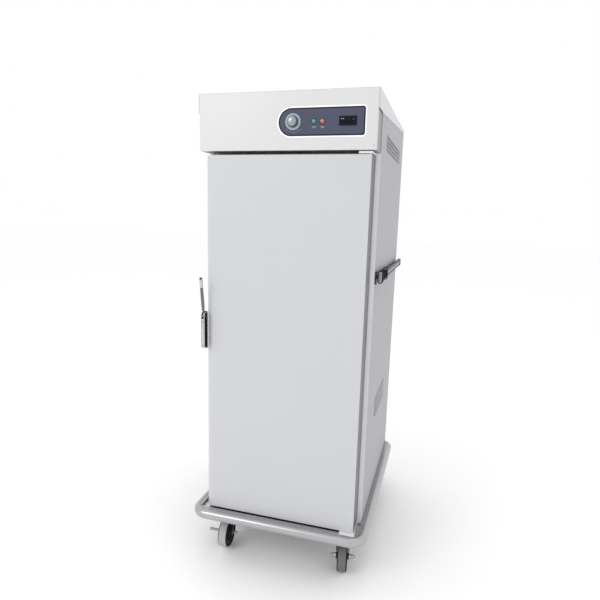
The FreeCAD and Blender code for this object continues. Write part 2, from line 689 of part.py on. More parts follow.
# ---- latch --------------------------------------------------------------------------
def latch_base():
    """Latch case on the door's opening edge, slotted at the top for the lever."""
    x0, x1 = LATCH_X - LATCH_HALF, LATCH_X + LATCH_HALF
    case = box(x0, x1, DOOR_Y - LATCH_PROUD, DOOR_Y + 10, LATCH_BOTTOM, LATCH_TOP)
    case = fillet_where(case, 7.4, lambda e: abs(e.tangentAt(e.FirstParameter).x) > 0.999
                        and e.BoundBox.YMax < DOOR_Y)
    case = case.cut(door_block(-0.1, LATCH_BOTTOM - 1, LATCH_TOP + 1))
    slot = box(LATCH_X - LEVER_HALF - 0.6, LATCH_X + LEVER_HALF + 0.6,
               DOOR_Y - LATCH_PROUD - 1, DOOR_Y - 3, LEVER_PIVOT_Z - 24, LATCH_TOP + 1)
    pin = rod((x0 - 1, LEVER_PIVOT_Y, LEVER_PIVOT_Z), (1, 0, 0), LATCH_PIN_R, 20)
    return case.cut(slot).cut(pin)


def latch_pin():
    return rod((LATCH_X - LATCH_HALF - 0.6, LEVER_PIVOT_Y, LEVER_PIVOT_Z), (1, 0, 0),
               LATCH_PIN_R, 2 * LATCH_HALF + 1.2)


def latch_lever():
    """Hand lever: a slim blade with a broader grip, leaning off the door."""
    y, z = LEVER_PIVOT_Y, LEVER_PIVOT_Z
    blade = box(LATCH_X - LEVER_HALF, LATCH_X + LEVER_HALF, y - 4.5, y + 3.5, z - 8, z + 120)
    hub = rod((LATCH_X - LEVER_HALF, y, z), (1, 0, 0), 8.5, 2 * LEVER_HALF)
    grip = box(LATCH_X - 6.5, LATCH_X + 6.5, y - 5.0, y + 4.0, z + 22, z + 158)
    grip = grip.makeFillet(3.0, grip.Edges)
    whole = fuse([blade, hub, grip])
    whole = whole.cut(rod((LATCH_X - 20, y, z), (1, 0, 0), LATCH_PIN_R + RUN_FIT, 40))
    whole.rotate(V(LATCH_X, y, z), V(1, 0, 0), LEVER_LEAN)
    return whole


def latch_strike():
    """Keeper on the body's front flange, reached by the latch behind the door edge."""
    x1 = -HALF_DOOR - 1.5
    plate = box(-HALF_BODY + 1, x1, FACE_Y - 3.2, FACE_Y - 0.2, LATCH_BOTTOM + 30, LATCH_TOP - 30)
    nose = box(-HALF_BODY + 4, x1 - 3, FACE_Y - 26, FACE_Y - 3, LATCH_BOTTOM + 52, LATCH_TOP - 52)
    return fuse([plate, nose])


# ---- side handles and vents ---------------------------------------------------------
def side_handle(side):
    """Flat-oval push handle along the side, hollowed by a long groove."""
    x = side * RAIL_X
    bar = box(x - RAIL_HALF_T, x + RAIL_HALF_T, RAIL_Y0, RAIL_Y1,
              RAIL_Z - RAIL_HALF_H, RAIL_Z + RAIL_HALF_H)
    bar = fillet_where(bar, 5.0, lambda e: abs(e.tangentAt(e.FirstParameter).y) > 0.999)
    face = x + side * RAIL_HALF_T
    low, high = sorted((face, face - side * 2))
    groove = box(low, high, COLLARS[1] + 24, STANDOFF_Y - 24, RAIL_Z - 8, RAIL_Z + 8)
    return bar.cut(groove)


def side_handles():
    return Part.makeCompound([side_handle(-1), side_handle(1)])


def handle_collars():
    """Two oval clamp collars with feet near the front of each handle, and a rear standoff."""
    made = []
    for side in (-1, 1):
        x = side * RAIL_X
        for y in COLLARS:
            ring = box(x - COLLAR_HALF_T, x + COLLAR_HALF_T, y - 11, y + 11,
                       RAIL_Z - COLLAR_HALF_H, RAIL_Z + COLLAR_HALF_H)
            ring = fillet_where(ring, COLLAR_HALF_T - 1,
                                lambda e: abs(e.tangentAt(e.FirstParameter).y) > 0.999)
            hole = box(x - RAIL_HALF_T - 0.1, x + RAIL_HALF_T + 0.1, y - 12, y + 12,
                       RAIL_Z - RAIL_HALF_H - 0.1, RAIL_Z + RAIL_HALF_H + 0.1)
            foot = rod((side * HALF_BODY, y, RAIL_Z), (side, 0, 0), 9, 12)
            made.append(fuse([ring.cut(hole), foot.cut(hole)]))
        gap = RAIL_X - RAIL_HALF_T - 0.1 - HALF_BODY
        made.append(rod((side * HALF_BODY, STANDOFF_Y, RAIL_Z), (side, 0, 0), 9, gap))
    return Part.makeCompound(made)


def handle_caps():
    """Black caps on the handle ends; the front ones are as large as the collars."""
    caps = []
    for side in (-1, 1):
        x = side * RAIL_X
        for y, half_x, half_z in (
            (RAIL_Y0 - CAP_L, COLLAR_HALF_T, COLLAR_HALF_H),
            (RAIL_Y1, RAIL_HALF_T + 2, RAIL_HALF_H + 2.5),
        ):
            cap = box(x - half_x, x + half_x, y, y + CAP_L, RAIL_Z - half_z, RAIL_Z + half_z)
            caps.append(fillet_where(cap, half_x - 1,
                                     lambda e: abs(e.tangentAt(e.FirstParameter).y) > 0.999))
    return Part.makeCompound(caps)


def side_vents():
    """Louvred panels on the right side: control compartment and lower air intake."""
    made = []
    for y0, y1, z0, z1 in VENTS:
        x = HALF_BODY
        parts = [box(x, x + 1.5, y0, y1, z0, z1)]
        count = int((z1 - z0) // 15)
        pitch = (z1 - z0) / count
        for k in range(count):
            z = z0 + k * pitch + 3
            points = [(x + 1.5, y0 + 10, z), (x + 5.5, y0 + 10, z), (x + 1.5, y0 + 10, z + 9)]
            parts.append(prism(points, (0, y1 - y0 - 20, 0)))
        made.append(fuse(parts))
    return Part.makeCompound(made)


# ---- chamber fittings ---------------------------------------------------------------
def tray_rack(side):
    """Ladder of tray runners on three uprights, hung on the chamber wall."""
    wall = side * RACK_X
    face = wall - side * UPRIGHT_T
    tip = face - side * LEDGE
    top = FIRST_TRAY_Z + (TRAY_LEVELS - 1) * TRAY_PITCH
    made = []
    mid = (RACK_Y0 + RACK_Y1) / 2
    for y in (RACK_Y0, mid - UPRIGHT_W / 2, RACK_Y1 - UPRIGHT_W):
        upright = box(min(wall, face), max(wall, face), y, y + UPRIGHT_W, CAVITY_BOTTOM + 8, top + 40)
        back = wall - side * (UPRIGHT_T - RACK_SHEET)
        hollow = box(min(wall, back), max(wall, back), y + RACK_SHEET,
                     y + UPRIGHT_W - RACK_SHEET, CAVITY_BOTTOM, top + 50)
        made.append(upright.cut(hollow))
    for level in range(-1, TRAY_LEVELS):
        z = FIRST_TRAY_Z + level * TRAY_PITCH
        leg_in = face - side * RACK_SHEET
        leg = box(min(face, leg_in), max(face, leg_in), RACK_Y0, RACK_Y1, z, z + 22)
        ledge = box(min(face, tip), max(face, tip), RACK_Y0, RACK_Y1, z, z + RACK_SHEET)
        made.append(fuse([leg, ledge]))
    return Part.makeCompound(made)


def water_pan():
    """Humidity pan that rides on the lowest pair of runners."""
    y0 = PAN_Y1 - PAN_D
    rim = slab(-PAN_HALF - 12, PAN_HALF + 12, y0, PAN_Y1, 20, PAN_Z, PAN_Z + 1.6)
    shell = slab(-PAN_HALF + 22, PAN_HALF - 22, y0 + 34, PAN_Y1 - 34, 24, PAN_Z - 42, PAN_Z + 1.6)
    hollow = slab(-PAN_HALF + 23.6, PAN_HALF - 23.6, y0 + 35.6, PAN_Y1 - 35.6, 22.4,
                  PAN_Z - 40.4, PAN_Z + 3)
    return fuse([rim, shell]).cut(hollow)


def air_duct():
    """False back that spreads the fan's air, with an inlet and rows of outlets."""
    duct = box(-190, 190, DUCT_Y, DUCT_Y + 1.2, CAVITY_BOTTOM + 60, CAVITY_TOP - 6)
    sides = [box(s * 190 - 1.2 * (s > 0), s * 190 + 1.2 * (s < 0), DUCT_Y, CAVITY_BACK - 0.2,
                 CAVITY_BOTTOM + 60, CAVITY_TOP - 6) for s in (-1, 1)]
    whole = fuse([duct] + sides)
    for k in range(-4, 5):
        x = k * 18
        half = math.sqrt(FAN_R ** 2 - x ** 2)
        slot = box(x - 5, x + 5, DUCT_Y - 1, DUCT_Y + 3, FAN_Z - half, FAN_Z + half)
        whole = whole.cut(slot)
    for row in range(11):
        z = CAVITY_BOTTOM + 120 + row * 78
        for s in (-1, 1):
            whole = whole.cut(box(s * 105 - 45, s * 105 + 45, DUCT_Y - 1, DUCT_Y + 3, z, z + 8))
    return whole


def fan_motor():
    """Shaded-pole motor behind the chamber wall's duct, shaft forward."""
    case = rod((0, CAVITY_BACK - 24, FAN_Z), (0, 1, 0), 34, 23.8)
    shaft = rod((0, CAVITY_BACK - 48, FAN_Z), (0, 1, 0), 3.0, 26)
    return fuse([case, shaft])


def fan_blade():
    """Five-blade axial impeller on the motor shaft."""
    y0, y1 = CAVITY_BACK - 46, CAVITY_BACK - 32
    hub = rod((0, y0, FAN_Z), (0, 1, 0), 15, y1 - y0)
    parts = [hub]
    for k in range(5):
        blade = box(10, FAN_R - 4, -1, 1, -22, 22)
        blade.rotate(V(0, 0, 0), V(1, 0, 0), 25)
        blade.translate(V(0, (y0 + y1) / 2, FAN_Z))
        blade.rotate(V(0, 0, FAN_Z), V(0, 1, 0), 72 * k)
        parts.append(blade)
    impeller = fuse(parts)
    return impeller.cut(rod((0, y0 - 5, FAN_Z), (0, 1, 0), 3.0 + RUN_FIT, 40))


def heater_element():
    """Hairpin sheathed heater under the fan, on a mounting block."""
    r, y, x = 4.0, CAVITY_BACK - 26, 120.0
    z0 = CAVITY_BOTTOM + 90
    rows = [z0 + k * 36 for k in range(6)]
    path = []
    for i, z in enumerate(rows):
        a, b = (-x, x) if i % 2 == 0 else (x, -x)
        path.append(Part.makeLine(V(a, y, z), V(b, y, z)))
        if i + 1 < len(rows):
            bulge = b + (18 if b > 0 else -18)
            path.append(Part.Arc(V(b, y, z), V(bulge, y, z + 18), V(b, y, z + 36)).toShape())
    wire = Part.Wire(path)
    circle = Part.Wire([Part.makeCircle(r, V(-x, y, z0), V(1, 0, 0))])
    sheath = wire.makePipeShell([circle], True, False)
    block = box(-x - 8, -x + 10, y - 8, CAVITY_BACK - 0.2, z0 - 14, z0 + 14)
    return fuse([sheath, block])


def screws():
    """Pan-head screws of the side panels and the fascia."""
    made = []
    for side in (-1, 1):
        for y, z in SCREW_SPOTS:
            head = rod((side * HALF_BODY, y, z), (side, 0, 0), 4.0, 2.0)
            made.append(head)
    made.append(rod((HALF_HEAD - 9.5, HEAD_Y - 1.2, HEAD_BOTTOM + 14.5), (0, 1, 0), 2.1, 6))
    return Part.makeCompound(made)


def build():
    for word, side in (("left", -1), ("right", 1)):
        node(f"side_panel_{word}", side_panel(side))
        node(f"tray_rack_{word}", tray_rack(side))
    for make in (back_panel, top_cover, inner_liner, insulation, face_frame,
                 header_fascia, header_chassis, control_plate, thermostat_body,
                 thermostat_knob, lamp_bezels, thermometer, bumper_rail, deck_plate,
                 base_frame, caster_plates, door_skin, door_edge_frame, door_core,
                 door_liner, door_gasket, hinge_brackets, hinge_pins, latch_base, latch_pin,
                 latch_lever, latch_strike, side_handles, handle_collars, handle_caps, side_vents,
                 water_pan, air_duct, fan_motor, fan_blade, heater_element, cable_gland, screws):
        node(make.__name__, make())
    for colour, x in LAMPS.items():
        node(f"lamp_{colour}", lamp(x))
    casters()


build()
os.makedirs("parts", exist_ok=True)
for name, shape in NODES.items():
    shape.exportStep(f"parts/{name}.step")
    problems = [s for s in shape.Solids if not s.isValid() or s.Volume <= 0]
    print(f"{name}: {len(shape.Solids)} solids, {shape.Volume / 1000:.1f} cm3", "BAD" if problems else "")
print(len(NODES), "nodes")
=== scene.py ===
"""Looks of the proofing cabinet: materials, detailed pieces, floor, light and camera.

Shapes are drawn in millimetres in the shared frame (+Z up, the door faces -Y) and scaled to
metres when a piece is made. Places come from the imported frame's own boxes.
"""

import json
import math
import random

import bmesh
import bpy
from mathutils import Matrix, Vector


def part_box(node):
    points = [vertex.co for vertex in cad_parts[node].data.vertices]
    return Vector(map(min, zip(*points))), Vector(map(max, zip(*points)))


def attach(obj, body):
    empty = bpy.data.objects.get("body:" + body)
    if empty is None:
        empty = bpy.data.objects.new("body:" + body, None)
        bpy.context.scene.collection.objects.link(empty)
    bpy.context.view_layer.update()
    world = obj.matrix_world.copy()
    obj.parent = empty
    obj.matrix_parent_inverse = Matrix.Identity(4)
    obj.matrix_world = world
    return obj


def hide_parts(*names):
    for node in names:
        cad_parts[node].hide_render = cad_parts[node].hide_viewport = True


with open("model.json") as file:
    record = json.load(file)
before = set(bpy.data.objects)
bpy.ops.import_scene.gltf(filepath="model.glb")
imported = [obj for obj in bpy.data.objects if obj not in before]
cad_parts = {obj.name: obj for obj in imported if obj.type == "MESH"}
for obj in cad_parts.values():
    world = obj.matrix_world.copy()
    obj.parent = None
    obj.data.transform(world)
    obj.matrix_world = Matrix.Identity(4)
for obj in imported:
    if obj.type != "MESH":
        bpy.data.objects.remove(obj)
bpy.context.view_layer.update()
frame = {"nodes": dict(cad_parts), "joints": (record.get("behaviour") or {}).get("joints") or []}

MM = 0.001

# ---- camera ----
CAMERA_PLACE = (0.5884, -2.2543, 1.4449)
CAMERA_AZIMUTH = 16.1077
CAMERA_PITCH = 10.1640
CAMERA_ROLL = 1.5692
CAMERA_LENS = 30.78
CAMERA_SHIFT = (0.0043, 0.0128)

SENSOR_W = 36.0

# ---- stage (m) ----
FLOOR_HALF = 30.0
LIGHTS = (                  # name, place, height aimed at, size, power
    ("key", (-2.6, -4.2, 3.6), 1.0, 2.6, 55),
    ("fill", (3.8, -2.4, 2.2), 0.9, 2.2, 4),
    ("top", (0.2, 0.4, 4.6), 1.0, 2.4, 14),
)

WELD_REACH = 1e-6           # metres

# ---- small parts (mm) ----
SHEET_T = 1.2               # door skin
HEAD_SHEET_T = 1.5          # control head and roof sheets
BEND_R = 2.2
DOOR_EDGE_R = 34.0
FLANGE_REAR = 14.0
SCREW_REACH = 10.0          # points of one CAD screw head lie within it
LENS_R = 7.3
LAMP_DEPTH = 22.0           # lens body behind the plate
BEZEL_R = 10.5
KNOB_FLUTES = 24
KNOB_MARKS = 11
LEVER_LEAN = 9.0            # degrees ahead of upright
CLAMP_SPOTS = (14.0, 147.0)     # behind a side handle's front end
CLAMP_CORNER_R = 9.4
BUMPER_ROUND = 18.0
BUMPER_CORNER_R = 68.0
CASTER_TRAIL = 38.0
CASTER_YAWS = {"fl": 2.5, "fr": 8.0, "rl": 24.0, "rr": -31.0}
WHEEL_R = 62.5
TREAD_HALF = 20.0
FORK_TOP = 141.0
FORK_GAP = 3.2              # tread to fork leg
FORK_T = 3.0
AXLE_R = 5.0
AXLE_HALF = 51.0
AXLE_LONG = 82.0            # outer end of the front left axle
WOOL_GAP = 1.0
GLAND_BORE_R = 5.0

FRONT = (0, -1, 0)
REAR = (0, 1, 0)


def cad(node):
    """A CAD node's lowest and highest corner in millimetres."""
    low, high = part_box(node)
    return low / MM, high / MM


# ---- mesh helpers ----
def axes_for(direction):
    w = Vector(direction).normalized()
    helper = Vector((0, 0, 1)) if abs(w.z) < 0.9 else Vector((0, 1, 0))
    u = helper.cross(w).normalized()
    return u, w.cross(u), w


def loft(bm, sections, closed_path=False, closed_section=True, caps=True):
    """Skin a row of sections that all have the same number of points."""
    rows = [[bm.verts.new(p) for p in section] for section in sections]
    pairs = list(zip(rows, rows[1:]))
    if closed_path:
        pairs.append((rows[-1], rows[0]))
    count = len(rows[0])
    last = count if closed_section else count - 1
    for a, b in pairs:
        for k in range(last):
            j = (k + 1) % count
            bm.faces.new((a[k], a[j], b[j], b[k]))
    if caps and closed_section and not closed_path:
        bm.faces.new(rows[0])
        bm.faces.new(rows[-1])


def lathe(bm, profile, centre, axis, steps=64, closed=False, ripple=None):
    """Revolve (radius, distance along the axis) points about an axis through centre."""
    u, v, w = axes_for(axis)
    centre = Vector(centre)
    rings = []
    for radius, along in profile:
        if radius < 1e-6:
            rings.append([bm.verts.new(centre + w * along)])
            continue
        ring = []
        for k in range(steps):
            angle = 2 * math.pi * k / steps
            r = radius + (ripple(radius, along, angle) if ripple else 0.0)
            outward = u * math.cos(angle) + v * math.sin(angle)
            ring.append(bm.verts.new(centre + w * along + outward * r))
        rings.append(ring)
    pairs = list(zip(rings, rings[1:]))
    if closed:
        pairs.append((rings[-1], rings[0]))
    for a, b in pairs:
        for k in range(steps):
            j = (k + 1) % steps
            corners = [a[k % len(a)], a[j % len(a)], b[j % len(b)], b[k % len(b)]]
            unique = list(dict.fromkeys(corners))
            if len(unique) > 2:
                bm.faces.new(unique)


def plane_xy(u, v, d):
    return (u, v, d)


def plane_xz(u, v, d):
    return (u, d, v)


def plane_yz(u, v, d):
    return (d, u, v)


def rectangle(u0, u1, v0, v1):
    return [(u0, v0), (u1, v0), (u1, v1), (u0, v1)]


def prism(bm, outline, plane, start, end):
    loft(bm, [[plane(u, v, start) for u, v in outline], [plane(u, v, end) for u, v in outline]])


def block(bm, low, high):
    prism(bm, rectangle(low[0], high[0], low[1], high[1]), plane_xy, low[2], high[2])


def side_block(bm, side, xs, ys, zs):
    """A block between two distances xs out from the middle plane, on one side of it."""
    x0, x1 = sorted(side * x for x in xs)
    block(bm, (x0, ys[0], zs[0]), (x1, ys[1], zs[1]))


def rounded(points, radius, steps=6):
    """A closed outline with its corners rounded; radius is one value or one per corner."""
    out = []
    for i, corner in enumerate(points):
        r = radius[i] if isinstance(radius, (list, tuple)) else radius
        p = Vector(corner)
        if r <= 0:
            out.append(tuple(p))
            continue
        a = Vector(points[i - 1]) - p
        b = Vector(points[(i + 1) % len(points)]) - p
        half = a.angle(b) / 2
        reach = min(r / math.tan(half), 0.495 * a.length, 0.495 * b.length)
        a.normalize()
        b.normalize()
        centre = p + (a + b).normalized() * (reach / math.cos(half))
        first = p + a * reach - centre
        sweep = first.angle(p + b * reach - centre)
        turn = 1 if first.cross(p + b * reach - centre) > 0 else -1
        for k in range(steps + 1):
            angle = turn * sweep * k / steps
            c, s = math.cos(angle), math.sin(angle)
            out.append((centre.x + first.x * c - first.y * s, centre.y + first.x * s + first.y * c))
    return out


def rounded_block(bm, low, high, radius):
    """A block whose upright edges are rounded."""
    prism(bm, rounded(rectangle(low[0], high[0], low[1], high[1]), radius), plane_xy, low[2], high[2])


def hex_nut(bm, centre, axis, across, length):
    """Hexagonal nut or bolt head with both ends chamfered."""
    u, v, w = axes_for(axis)
    centre = Vector(centre)
    corner = across / math.sqrt(3)
    edge = corner * 0.12
    directions = [u * math.cos(k * math.pi / 3) + v * math.sin(k * math.pi / 3) for k in range(6)]
    rise = edge * 0.7
    stations = ((0, corner - edge), (rise, corner), (length - rise, corner), (length, corner - edge))
    loft(bm, [[centre + w * along + d * radius for d in directions] for along, radius in stations])


def threaded_rod(bm, centre, axis, radius, length):
    """Rod with turned thread grooves and a chamfered end."""
    pitch, depth = 1.5, 0.55
    profile = [(0, 0), (radius - 0.5, 0)]
    along = 0.6
    while along < length - 1.4:
        profile += [(radius, along), (radius, along + pitch * 0.3), (radius - depth, along + pitch * 0.65)]
        along += pitch
    profile += [(radius, length - 1.2), (radius - 1.2, length), (0, length)]
    lathe(bm, profile, centre, axis, 24)


def pan_screw(bm, centre, axis, radius, height, recess):
    """Domed screw head; the cross of its recess goes to a second mesh."""
    profile = [(radius, 0), (radius, height * 0.35), (radius * 0.92, height * 0.7),
               (radius * 0.7, height * 0.93), (radius * 0.3, height), (0, height)]
    lathe(bm, profile, centre, axis, 28)
    u, v, w = axes_for(axis)
    top = Vector(centre) + w * height
    half_long, half_wide, sunk, thick = radius * 0.5, radius * 0.11, 0.35, 0.38
    for a, b in ((u, v), (v, u)):
        foot = [top + a * x + b * y - w * sunk
                for x, y in rectangle(-half_long, half_long, -half_wide, half_wide)]
        loft(recess, [foot, [p + w * thick for p in foot]])


# ---- materials ----
MIX_INPUTS = (0, 6, 7)      # factor and the two colours of a Mix node
MIX_OUTPUT = 2


def noise(nodes, links, where, scale, detail):
    texture = nodes.new("ShaderNodeTexNoise")
    texture.inputs["Scale"].default_value = scale
    texture.inputs["Detail"].default_value = detail
    links.new(where, texture.inputs["Vector"])
    return texture


def map_range(nodes, links, source, **limits):
    """A Map Range node; From_Min and its like name the inputs to set."""
    ranged = nodes.new("ShaderNodeMapRange")
    for name, value in limits.items():
        ranged.inputs[name.replace("_", " ")].default_value = value
    links.new(source, ranged.inputs["Value"])
    return ranged.outputs["Result"]


def mix_colours(nodes, links, blend, *values):
    """Blend by (factor, first, second); each is a node's output or a plain value."""
    mix = nodes.new("ShaderNodeMix")
    mix.data_type = "RGBA"
    mix.blend_type = blend
    for index, value in zip(MIX_INPUTS, values):
        if isinstance(value, bpy.types.NodeSocket):
            links.new(value, mix.inputs[index])
        else:
            mix.inputs[index].default_value = value
    return mix.outputs[MIX_OUTPUT]


def finish(name, colour, rough, metallic=0.0, mottle=0.04, mottle_scale=6.0, grain=900.0,
           bump=0.02, stretch=(1, 1, 1), rough_spread=0.08, coat=0.0, spangle=0.0,
           scuffs=0.0, shine=0.5):
    """Procedural surface: slow colour mottling, fine grain in roughness and bump, and wear."""
    material = bpy.data.materials.new(name)
    material.use_nodes = True
    nodes, links = material.node_tree.nodes, material.node_tree.links
    shader = nodes["Principled BSDF"]
    for socket, value in (("Metallic", metallic), ("Coat Weight", coat), ("Coat Roughness", 0.12),
                          ("Specular IOR Level", shine)):
        shader.inputs[socket].default_value = value

    def tone(factor):
        return (*[min(1.0, c * factor) for c in colour], 1)

    where = nodes.new("ShaderNodeTexCoord").outputs["Object"]
    slow = noise(nodes, links, where, mottle_scale, 4.0)
    tint = mix_colours(nodes, links, "MIX", slow.outputs["Fac"], tone(1 - mottle), tone(1 + mottle))
    if spangle:
        cells = nodes.new("ShaderNodeTexVoronoi")
        cells.inputs["Scale"].default_value = 120.0
        links.new(where, cells.inputs["Vector"])
        flake = mix_colours(nodes, links, "MULTIPLY", spangle, tint, cells.outputs["Color"])
        grey = nodes.new("ShaderNodeRGBToBW")
        links.new(flake, grey.inputs["Color"])
        tint = grey.outputs["Val"]
    if scuffs:
        marks = noise(nodes, links, where, 34.0, 8.0)
        marks.inputs["Roughness"].default_value = 0.72
        worn = map_range(nodes, links, marks.outputs["Fac"], From_Min=0.60, From_Max=0.72, To_Max=scuffs)
        tint = mix_colours(nodes, links, "MIX", worn, tint, tone(0.55))
    links.new(tint, shader.inputs["Base Color"])

    stretched = nodes.new("ShaderNodeMapping")
    stretched.inputs["Scale"].default_value = stretch
    links.new(where, stretched.inputs["Vector"])
    fine = noise(nodes, links, stretched.outputs["Vector"], grain, 3.0).outputs["Fac"]
    spread = map_range(nodes, links, fine, From_Min=0.3, From_Max=0.7,
                       To_Min=max(0.03, rough - rough_spread), To_Max=min(1.0, rough + rough_spread))
    links.new(spread, shader.inputs["Roughness"])
    relief = nodes.new("ShaderNodeBump")
    relief.inputs["Strength"].default_value = bump
    relief.inputs["Distance"].default_value = 0.001
    links.new(fine, relief.inputs["Height"])
    links.new(relief.outputs["Normal"], shader.inputs["Normal"])
    return material


UPRIGHT_GRAIN = (1.0, 1.0, 0.02)
LENGTH_GRAIN = (1.0, 0.02, 1.0)
WOOL_GRAIN = (1.0, 0.15, 1.0)

# values that several finishes share
PAINT = dict(rough=0.40, mottle=0.012, grain=700, bump=0.05)
BRUSHED = dict(rough=0.30, metallic=1.0, mottle=0.03, mottle_scale=9.0, bump=0.03, rough_spread=0.10)
PRINTED = dict(mottle=0.05, grain=1800)
MOULDED = dict(mottle=0.05, grain=1500, bump=0.04)
LENS = dict(rough=0.16, mottle=0.08, grain=700, bump=0.03, coat=0.8)
TREAD = dict(mottle_scale=30, grain=1300, bump=0.25)
BLACK = dict(mottle=0.15, grain=1300)

LOOKS = {}


def add_look(key, *values, name=None, **more):
    """Add a finish to LOOKS; its material is named as the look unless it is given a name."""
    LOOKS[key] = finish(name or key, *values, **more)


add_look("painted_sheet", (0.63, 0.63, 0.63), **PAINT, coat=0.10, name="white_paint")
add_look("roof_paint", (0.60, 0.60, 0.62), **PAINT, coat=0.12)
add_look("door_paint", (0.545, 0.55, 0.565), **PAINT, coat=0.12)
# painted shade: the side panels' own paint, set far darker than the head's and door's paint to paint in the
# sides' shade
add_look("side_sheet", (0.40, 0.398, 0.42), 0.50, mottle=0.02, grain=650, bump=0.06, shine=0.18,
         name="side_paint_shaded")
# painted highlight: a white far brighter than the side paint, for the lit front edges of the side panels
add_look("edge_painted_highlight", (0.86, 0.86, 0.87), 0.35, mottle=0.01, grain=700, bump=0.03)
add_look("bracket_plate", (0.82, 0.82, 0.83), 0.32, 0.3, mottle=0.03, grain=700, bump=0.04)
add_look("dark_trim", (0.15, 0.15, 0.16), 0.45, mottle=0.08, grain=1100, bump=0.08)
add_look("head_trim", (0.26, 0.26, 0.275), 0.42, mottle=0.05, grain=1000, bump=0.06)
add_look("vent_grey", (0.27, 0.27, 0.30), 0.45, grain=800, bump=0.06)
add_look("stainless", (0.62, 0.62, 0.61), **BRUSHED, stretch=UPRIGHT_GRAIN)
add_look("stainless_flat", (0.62, 0.62, 0.61), **BRUSHED, stretch=LENGTH_GRAIN)
add_look("bumper_alloy", (0.45, 0.45, 0.46), 0.30, 1.0, 0.05, 14.0, 500, 0.03, rough_spread=0.10, scuffs=0.35)
add_look("rail_alloy", (0.30, 0.30, 0.31), 0.5, 0.25, mottle=0.06, grain=700, bump=0.04,
         stretch=LENGTH_GRAIN, shine=0.2)
add_look("clamp_grey", (0.33, 0.33, 0.34), 0.4, 0.3, mottle=0.05, grain=700, bump=0.03, shine=0.3)
add_look("chrome_fittings", (0.52, 0.52, 0.53), 0.14, 1.0, 0.02, 20.0, 500, 0.01, rough_spread=0.05,
         name="chrome")
add_look("zinc_steel", (0.20, 0.20, 0.21), 0.36, 1.0, 0.08, 30.0, 500, 0.06, rough_spread=0.12, spangle=0.25)
add_look("glass_wool", (0.78, 0.66, 0.30), 0.95, mottle=0.18, mottle_scale=40, grain=260, bump=0.9,
         stretch=WOOL_GRAIN, rough_spread=0.03)
add_look("door_foam", (0.80, 0.72, 0.46), 0.9, mottle=0.10, mottle_scale=60, bump=0.7, rough_spread=0.04)
add_look("seal_rubber", (0.035, 0.035, 0.037), 0.62, mottle=0.15, grain=1600, bump=0.12)
# partly painted highlight: the white surround ring is real, but its white is set far brighter than the head's
# paint to carry its edge highlight
add_look("plate_white_highlight", (0.93, 0.93, 0.94), 0.25, mottle=0.01, bump=0.01, coat=0.3)
add_look("control_slate", (0.066, 0.072, 0.115), 0.42, **PRINTED, bump=0.03, shine=0.25)
add_look("plate_border", (0.010, 0.011, 0.020), 0.45, **PRINTED, bump=0.03, shine=0.2)
add_look("plate_marks", (0.36, 0.39, 0.45), 0.45, **PRINTED)
add_look("knob_plastic", (0.30, 0.36, 0.43), 0.28, **MOULDED, coat=0.3)
add_look("knob_grip", (0.075, 0.095, 0.11), 0.34, **MOULDED)
add_look("knob_cap", (0.30, 0.35, 0.36), 0.26, 0.7, grain=1500)
add_look("black_plastic", (0.016, 0.016, 0.017), 0.36, mottle=0.12, grain=1400, bump=0.07)
add_look("display_glass", (0.004, 0.005, 0.012), 0.16, mottle=0.05, bump=0.005, shine=0.12)
add_look("display_frame", (0.008, 0.009, 0.017), 0.45, mottle=0.1, grain=1400, bump=0.05, shine=0.15)
add_look("lens_green", (0.030, 0.27, 0.17), **LENS)
add_look("lens_red", (0.56, 0.12, 0.09), **LENS)
add_look("lamp_ring", (0.10, 0.11, 0.13), 0.25, 0.8, mottle=0.05)
add_look("fork_black", (0.014, 0.014, 0.016), 0.45, mottle=0.10, bump=0.08, shine=0.25)
# painted light and shade: one grey tread rubber as a lit copy (lighter) and a shaded copy (darker)
add_look("tread_grey", (0.15, 0.15, 0.155), 0.72, mottle=0.14, **TREAD, scuffs=0.4)
add_look("tread_painted_lit", (0.44, 0.44, 0.45), 0.70, mottle=0.12, **TREAD, scuffs=0.3)
add_look("tyre_black", (0.012, 0.012, 0.013), 0.6, **BLACK, bump=0.15, shine=0.15)
add_look("matte_black", (0.010, 0.010, 0.011), 0.7, **BLACK, bump=0.10, shine=0.08)
add_look("wheel_black", (0.030, 0.030, 0.032), 0.40, mottle=0.15, grain=1200, bump=0.08, shine=0.3)


def clad(obj, look):
    obj.data.materials.clear()
    obj.data.materials.append(LOOKS[look])


# ---- pieces ----
def piece(name, bm, look, body, replaces=(), bevel=0.0, segments=2, angle=32, turn=None):
    """Turn a millimetre mesh into a finished object that rides on a body; turn is (centre, degrees)."""
    bmesh.ops.recalc_face_normals(bm, faces=bm.faces)
    if turn:
        centre, degrees = turn
        about_z = Matrix.Rotation(math.radians(degrees), 3, "Z")
        bmesh.ops.rotate(bm, verts=bm.verts, cent=centre, matrix=about_z)
    bmesh.ops.scale(bm, verts=bm.verts, vec=(MM, MM, MM))
    mesh = bpy.data.meshes.new(name)
    bm.to_mesh(mesh)
    bm.free()
    mesh.shade_smooth()
    obj = bpy.data.objects.new(name, mesh)
    bpy.context.scene.collection.objects.link(obj)
    clad(obj, look)
    if bevel:
        soften(obj, bevel, segments, angle)
    else:
        mesh.set_sharp_from_angle(angle=math.radians(angle))
    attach(obj, body)
    if replaces:
        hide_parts(*replaces)
    return obj


def soften(obj, width, segments=2, angle=32):
    """Round an object's sharp edges by width millimetres."""
    edge = obj.modifiers.new("soft_edges", "BEVEL")
    edge.width = width * MM
    edge.segments = segments
    edge.limit_method = "ANGLE"
    edge.angle_limit = math.radians(angle)
    edge.use_clamp_overlap = True
    edge.harden_normals = True


